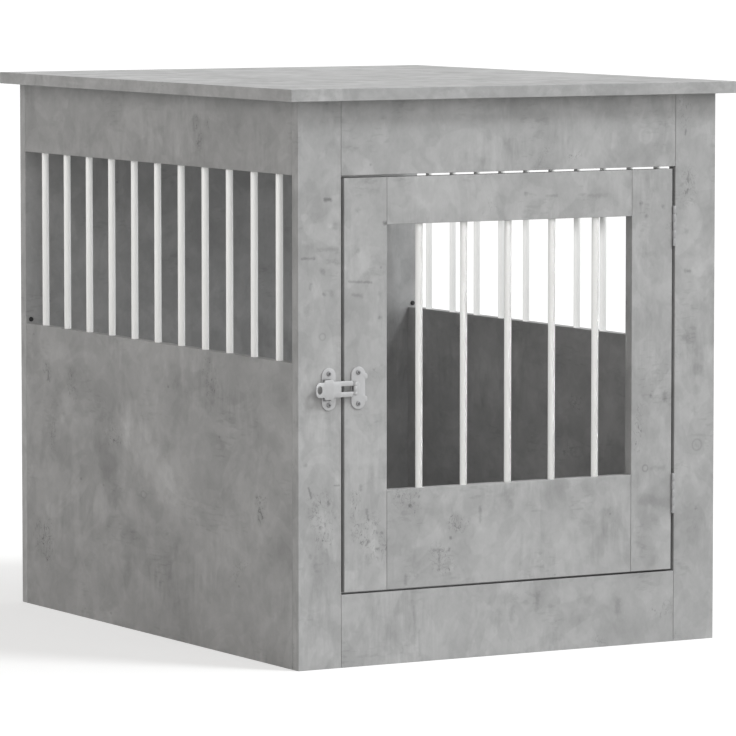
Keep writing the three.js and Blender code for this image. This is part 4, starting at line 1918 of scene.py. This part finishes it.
    def arm_middle(self, x: float) -> float:
        """Gives how far forward the arm's back face is.

        Args:
            x: A place along the arm.

        Returns:
            The Y of its back face: it climbs to the head, lies flat and turns out at the tab.
        """
        root = self.pin.y + self.arm_thickness / 2
        if x > self.head_right:
            share = (self.pin.x - x) / (self.pin.x - self.head_right)
            return root + (self.head_back - root) * share
        if x > self.head_left:
            return self.head_back
        share = (self.head_left - x) / (self.tab_length + 1.0 * MM)
        return self.head_back - self.tab_rise * share * share

    def arm(self) -> BMesh:
        """Makes the arm: a bent strip with barrels round the pin and a finger hole in its tab.

        Returns:
            The arm.
        """
        form = self.arm_outline()
        for vert in form.verts:
            vert.co.y = self.arm_middle(vert.co.x)
        thicken(form, self.arm_thickness)
        rims = [e for e in form.edges if e.is_manifold and e.calc_face_angle() > math.radians(60)]
        ease(form, rims, self.arm_edge, 2)
        half, length = self.slot_height / 2, (self.barrel_height - self.slot_height) / 2
        for bottom in (self.pin.z - half - length, self.pin.z + half):
            origin = Vector((self.pin.x, self.pin.y, bottom))
            barrel = turned(rod_profile(self.barrel_radius, length, 0.3 * MM), origin, Axis.Z.vector, 40)
            form = combined(form, barrel, Operation.JOIN)
        form = combined(form, self.pin_drill(), Operation.CUT)
        grip = Vector((self.head_left - self.grip_from_head, self.head_back, self.pin.z))
        hole = self.oval(grip, self.grip_width, self.grip_height, self.tab_length)
        return combined(form, hole, Operation.CUT)

    def build(self, finishes: Finishes) -> None:
        """Makes and dresses the latch."""
        # The second material, the darker zinc, paints shade in the pocket and in the punched hook.
        zinc_and_painted_shade = [finishes.zinc, finishes.screw]
        for node, form in (
            ("latch_frame_plate", self.frame_plate()),
            ("latch_door_plate", self.door_plate()),
            ("latch_pin", self.pin_form()),
            ("latch_arm", self.arm()),
        ):
            add_piece(node + FINISHED, form, zinc_and_painted_shade, BODY_OF_NODE[node], Slot.ZINC, [node])
        for i, name in enumerate(("frame_plate_screw_top", "frame_plate_screw_bottom", "door_plate_screw_top", "door_plate_screw_bottom")):
            origin = middle(name)
            origin.y = self.plate_front
            screw = PLATE_SCREW.form(origin, -Axis.Y.vector, 0.5 + 0.7 * i)
            # The second material paints shade in the screws' cross recesses.
            add_piece(name + FINISHED, screw, [finishes.screw, finishes.painted_recess_shade], BODY_OF_NODE[name], Slot.ZINC, [name])


# ---------------------------------------------------------------- studio


@dataclass(frozen=True)
class Sun:
    """A soft lamp far away."""

    name: str
    azimuth: float
    elevation: float
    level: float
    softness: float
    colour: Colour = (1.0, 1.0, 1.0)

    def build(
        self,
        only_on: Sequence[bpy.types.Object] = (),
        shade: bpy.types.Object | None = None,
        shaded: bool = False,
    ) -> bpy.types.Object:
        """Makes the lamp.

        Args:
            only_on: The pieces that a fill lamp lights. Empty for all.
            shade: The one piece that shades them from a fill lamp, if there is one.
            shaded: Whether every piece shades them from a fill lamp.

        Returns:
            The lamp, shining from its azimuth, which is 0 in front and 90 on the right.
        """
        across, up = math.radians(self.azimuth), math.radians(self.elevation)
        towards = Vector(
            (math.sin(across) * math.cos(up), -math.cos(across) * math.cos(up), math.sin(up))
        )
        data = bpy.data.lights.new(self.name, "SUN")
        data.energy = self.level * math.pi
        data.angle = math.radians(self.softness)
        data.color = self.colour
        lamp = bpy.data.objects.new(self.name, data)
        lamp.location = towards * 3.0
        lamp.rotation_mode = "QUATERNION"
        lamp.rotation_quaternion = (-towards).to_track_quat("-Z", "Y")
        bpy.context.scene.collection.objects.link(lamp)
        if only_on:
            lamp.light_linking.receiver_collection = collected(self.name + "_lit", only_on)
            if shade:
                lamp.light_linking.blocker_collection = collected(self.name + "_shade", [shade])
            else:
                data.use_shadow = shaded
        return lamp


def collected(name: str, pieces: Iterable[bpy.types.Object]) -> bpy.types.Collection:
    """Puts pieces in a collection of their own, for a lamp to name."""
    collection = bpy.data.collections.new(name)
    for piece in pieces:
        collection.objects.link(piece)
    return collection


@dataclass
class Studio:
    """The floor, the surroundings, the lamps and the camera."""

    floor_half: float = 60.0
    surround_level: float = 0.405
    surround_colour: Colour = (1.0, 0.978, 0.95)
    aim: tuple[float, float, float] = (0.0138, 0.0, 0.3296)
    camera_azimuth: float = -29.89
    camera_elevation: float = 4.92
    camera_distance: float = 6.986
    camera_lens: float = 261.8
    sensor: float = 36.0
    cool: Colour = (0.965, 0.99, 1.0)
    right_lamp: bpy.types.Object | None = None

    def build(self) -> None:
        """Makes the studio."""
        self.floor()
        self.surroundings()
        warm = (1.0, 0.97, 0.94)
        Sun("key", 41.0, 50.5, 0.405, 14.0, self.cool).build()
        Sun("front", -10.0, 16.0, 0.165, 60.0).build()
        self.right_lamp = Sun("right", 70.0, 20.0, 0.5, 60.0, self.cool).build()
        Sun("left", -90.0, 22.0, 0.15, 60.0, warm).build()
        self.camera()
        bpy.context.scene.view_settings.view_transform = "Standard"

    def fill_bars(
        self,
        bars: Sequence[bpy.types.Object],
        from_left: float,
        from_front: float,
        shade: bpy.types.Object | None = None,
    ) -> None:
        """Lights painted bars a little more, so that they stay white inside the crate.

        Args:
            bars: The bars.
            from_left: The level of the lamp on the left.
            from_front: The level of the lamp in front.
            shade: The piece that shades them, if there is one.
        """
        row = bars[0].name
        for name, azimuth, level in (("left", -75.0, from_left), ("front", 20.0, from_front)):
            if level > 0.0:
                softness = 3.0 if shade else 60.0
                Sun(f"{row}_fill_{name}", azimuth, 16.0, level, softness).build(bars, shade)

    def light_inside(
        self, lit_walls: Sequence[bpy.types.Object], dim_walls: Sequence[bpy.types.Object]
    ) -> None:
        """Lights the inside of the crate.

        Args:
            lit_walls: The pieces on the left, which the light through the right side reaches.
            dim_walls: The pieces at the back and on the right, which stay dim.
        """
        Sun("inside", 84.0, 12.0, 0.5, 60.0, self.cool).build(lit_walls, shaded=True)
        Sun("inside_fill", -25.0, 0.0, 0.055, 20.0).build(dim_walls)

    def light_back(self, walls: Sequence[bpy.types.Object]) -> None:
        """Lights the back of the table softly."""
        Sun("back", 180.0, -5.0, 0.3, 40.0).build(walls)

    def spare_bars(self, bars: Sequence[bpy.types.Object]) -> None:
        """Keeps the lamp on the right off bars that it would make too white."""
        spared = collected("spared_bars", bars)
        for entry in spared.collection_objects:
            entry.light_linking.link_state = "EXCLUDE"
        self.right_lamp.light_linking.receiver_collection = spared

    def floor(self) -> bpy.types.Object:
        """Lays the floor under the object.

        Returns:
            The floor.
        """
        form = bmesh.new()
        bmesh.ops.create_grid(form, x_segments=8, y_segments=8, size=self.floor_half)
        mesh = bpy.data.meshes.new("studio_floor")
        form.to_mesh(mesh)
        form.free()
        mesh.materials.append(StudioFloor().material())
        floor = bpy.data.objects.new("studio_floor", mesh)
        bpy.context.scene.collection.objects.link(floor)
        floor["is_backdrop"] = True
        return floor

    def surroundings(self) -> None:
        """Makes the world: soft light all round, and white where it is seen."""
        world = bpy.data.worlds.new("surroundings")
        world.use_nodes = True
        sheet = NodeSheet(world.node_tree)
        lit = sheet.add("Background")
        sheet.feed(lit.inputs["Color"], (*self.surround_colour, 1.0))
        sheet.feed(lit.inputs["Strength"], self.surround_level)
        white = sheet.add("Background")
        sheet.feed(white.inputs["Color"], (1.0, 1.0, 1.0, 1.0))
        sheet.feed(white.inputs["Strength"], 1.0)
        mix = sheet.add("MixShader")
        sheet.feed(mix.inputs["Fac"], seen_directly(sheet))
        sheet.feed(mix.inputs[1], lit.outputs["Background"])
        sheet.feed(mix.inputs[2], white.outputs["Background"])
        end = sheet.add("OutputWorld")
        sheet.feed(end.inputs["Surface"], mix.outputs["Shader"])
        bpy.context.scene.world = world

    def camera(self) -> bpy.types.Object:
        """Sets the camera where the photograph was taken from.

        Returns:
            The camera.
        """
        across, up = math.radians(self.camera_azimuth), math.radians(self.camera_elevation)
        back = Vector(
            (math.sin(across) * math.cos(up), -math.cos(across) * math.cos(up), math.sin(up))
        )
        data = bpy.data.cameras.new("camera")
        data.lens = self.camera_lens
        data.sensor_width = self.sensor
        data.clip_start = 0.1
        data.clip_end = 200.0
        camera = bpy.data.objects.new("camera", data)
        camera.location = Vector(self.aim) + back * self.camera_distance
        camera.rotation_mode = "QUATERNION"
        camera.rotation_quaternion = (-back).to_track_quat("-Z", "Y")
        bpy.context.scene.collection.objects.link(camera)
        bpy.context.scene.camera = camera
        return camera


def write_sizes() -> None:
    """Lists the CAD box and the visual model's box, each as its lowest and highest corner; nothing is written."""
    boxes = {"cad": cad_box, "visual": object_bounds()}
    rows = {name: [list(corner) for corner in box] for name, box in boxes.items()}


def finished(*nodes: str) -> list[bpy.types.Object]:
    """Finds the finished pieces of nodes."""
    return [bpy.data.objects[node + FINISHED] for node in nodes]


def main() -> None:
    """Builds the table and its studio, piece by piece."""
    logging.basicConfig(level=logging.INFO, format="%(message)s")
    finishes = Finishes()
    studio = Studio()
    studio.build()
    body = Body()
    left_bars, right_bars = body.build(finishes)
    left_wall, right_wall = finished("left_panel", "left_top_rail"), finished("right_panel", "right_top_rail")
    back, top = finished("back_panel", "top_board")
    studio.light_inside([*left_wall, *left_bars], [*right_wall, back])
    studio.light_back([back, top])
    studio.fill_bars(left_bars, 0.34, 0.31)
    studio.fill_bars(right_bars, 0.75, 0.0, top)
    hinges = (ButtHinge("top"), ButtHinge("bottom"))
    FrontFrame(hinges).build(finishes)
    door_bars = Door(hinges).build(finishes)
    studio.fill_bars(door_bars, 0.33, 0.05)
    studio.spare_bars(door_bars)
    for hinge in hinges:
        hinge.build(finishes)
    FlipLatch().build(finishes)
    write_sizes()


if __name__ == "__main__":
    main()
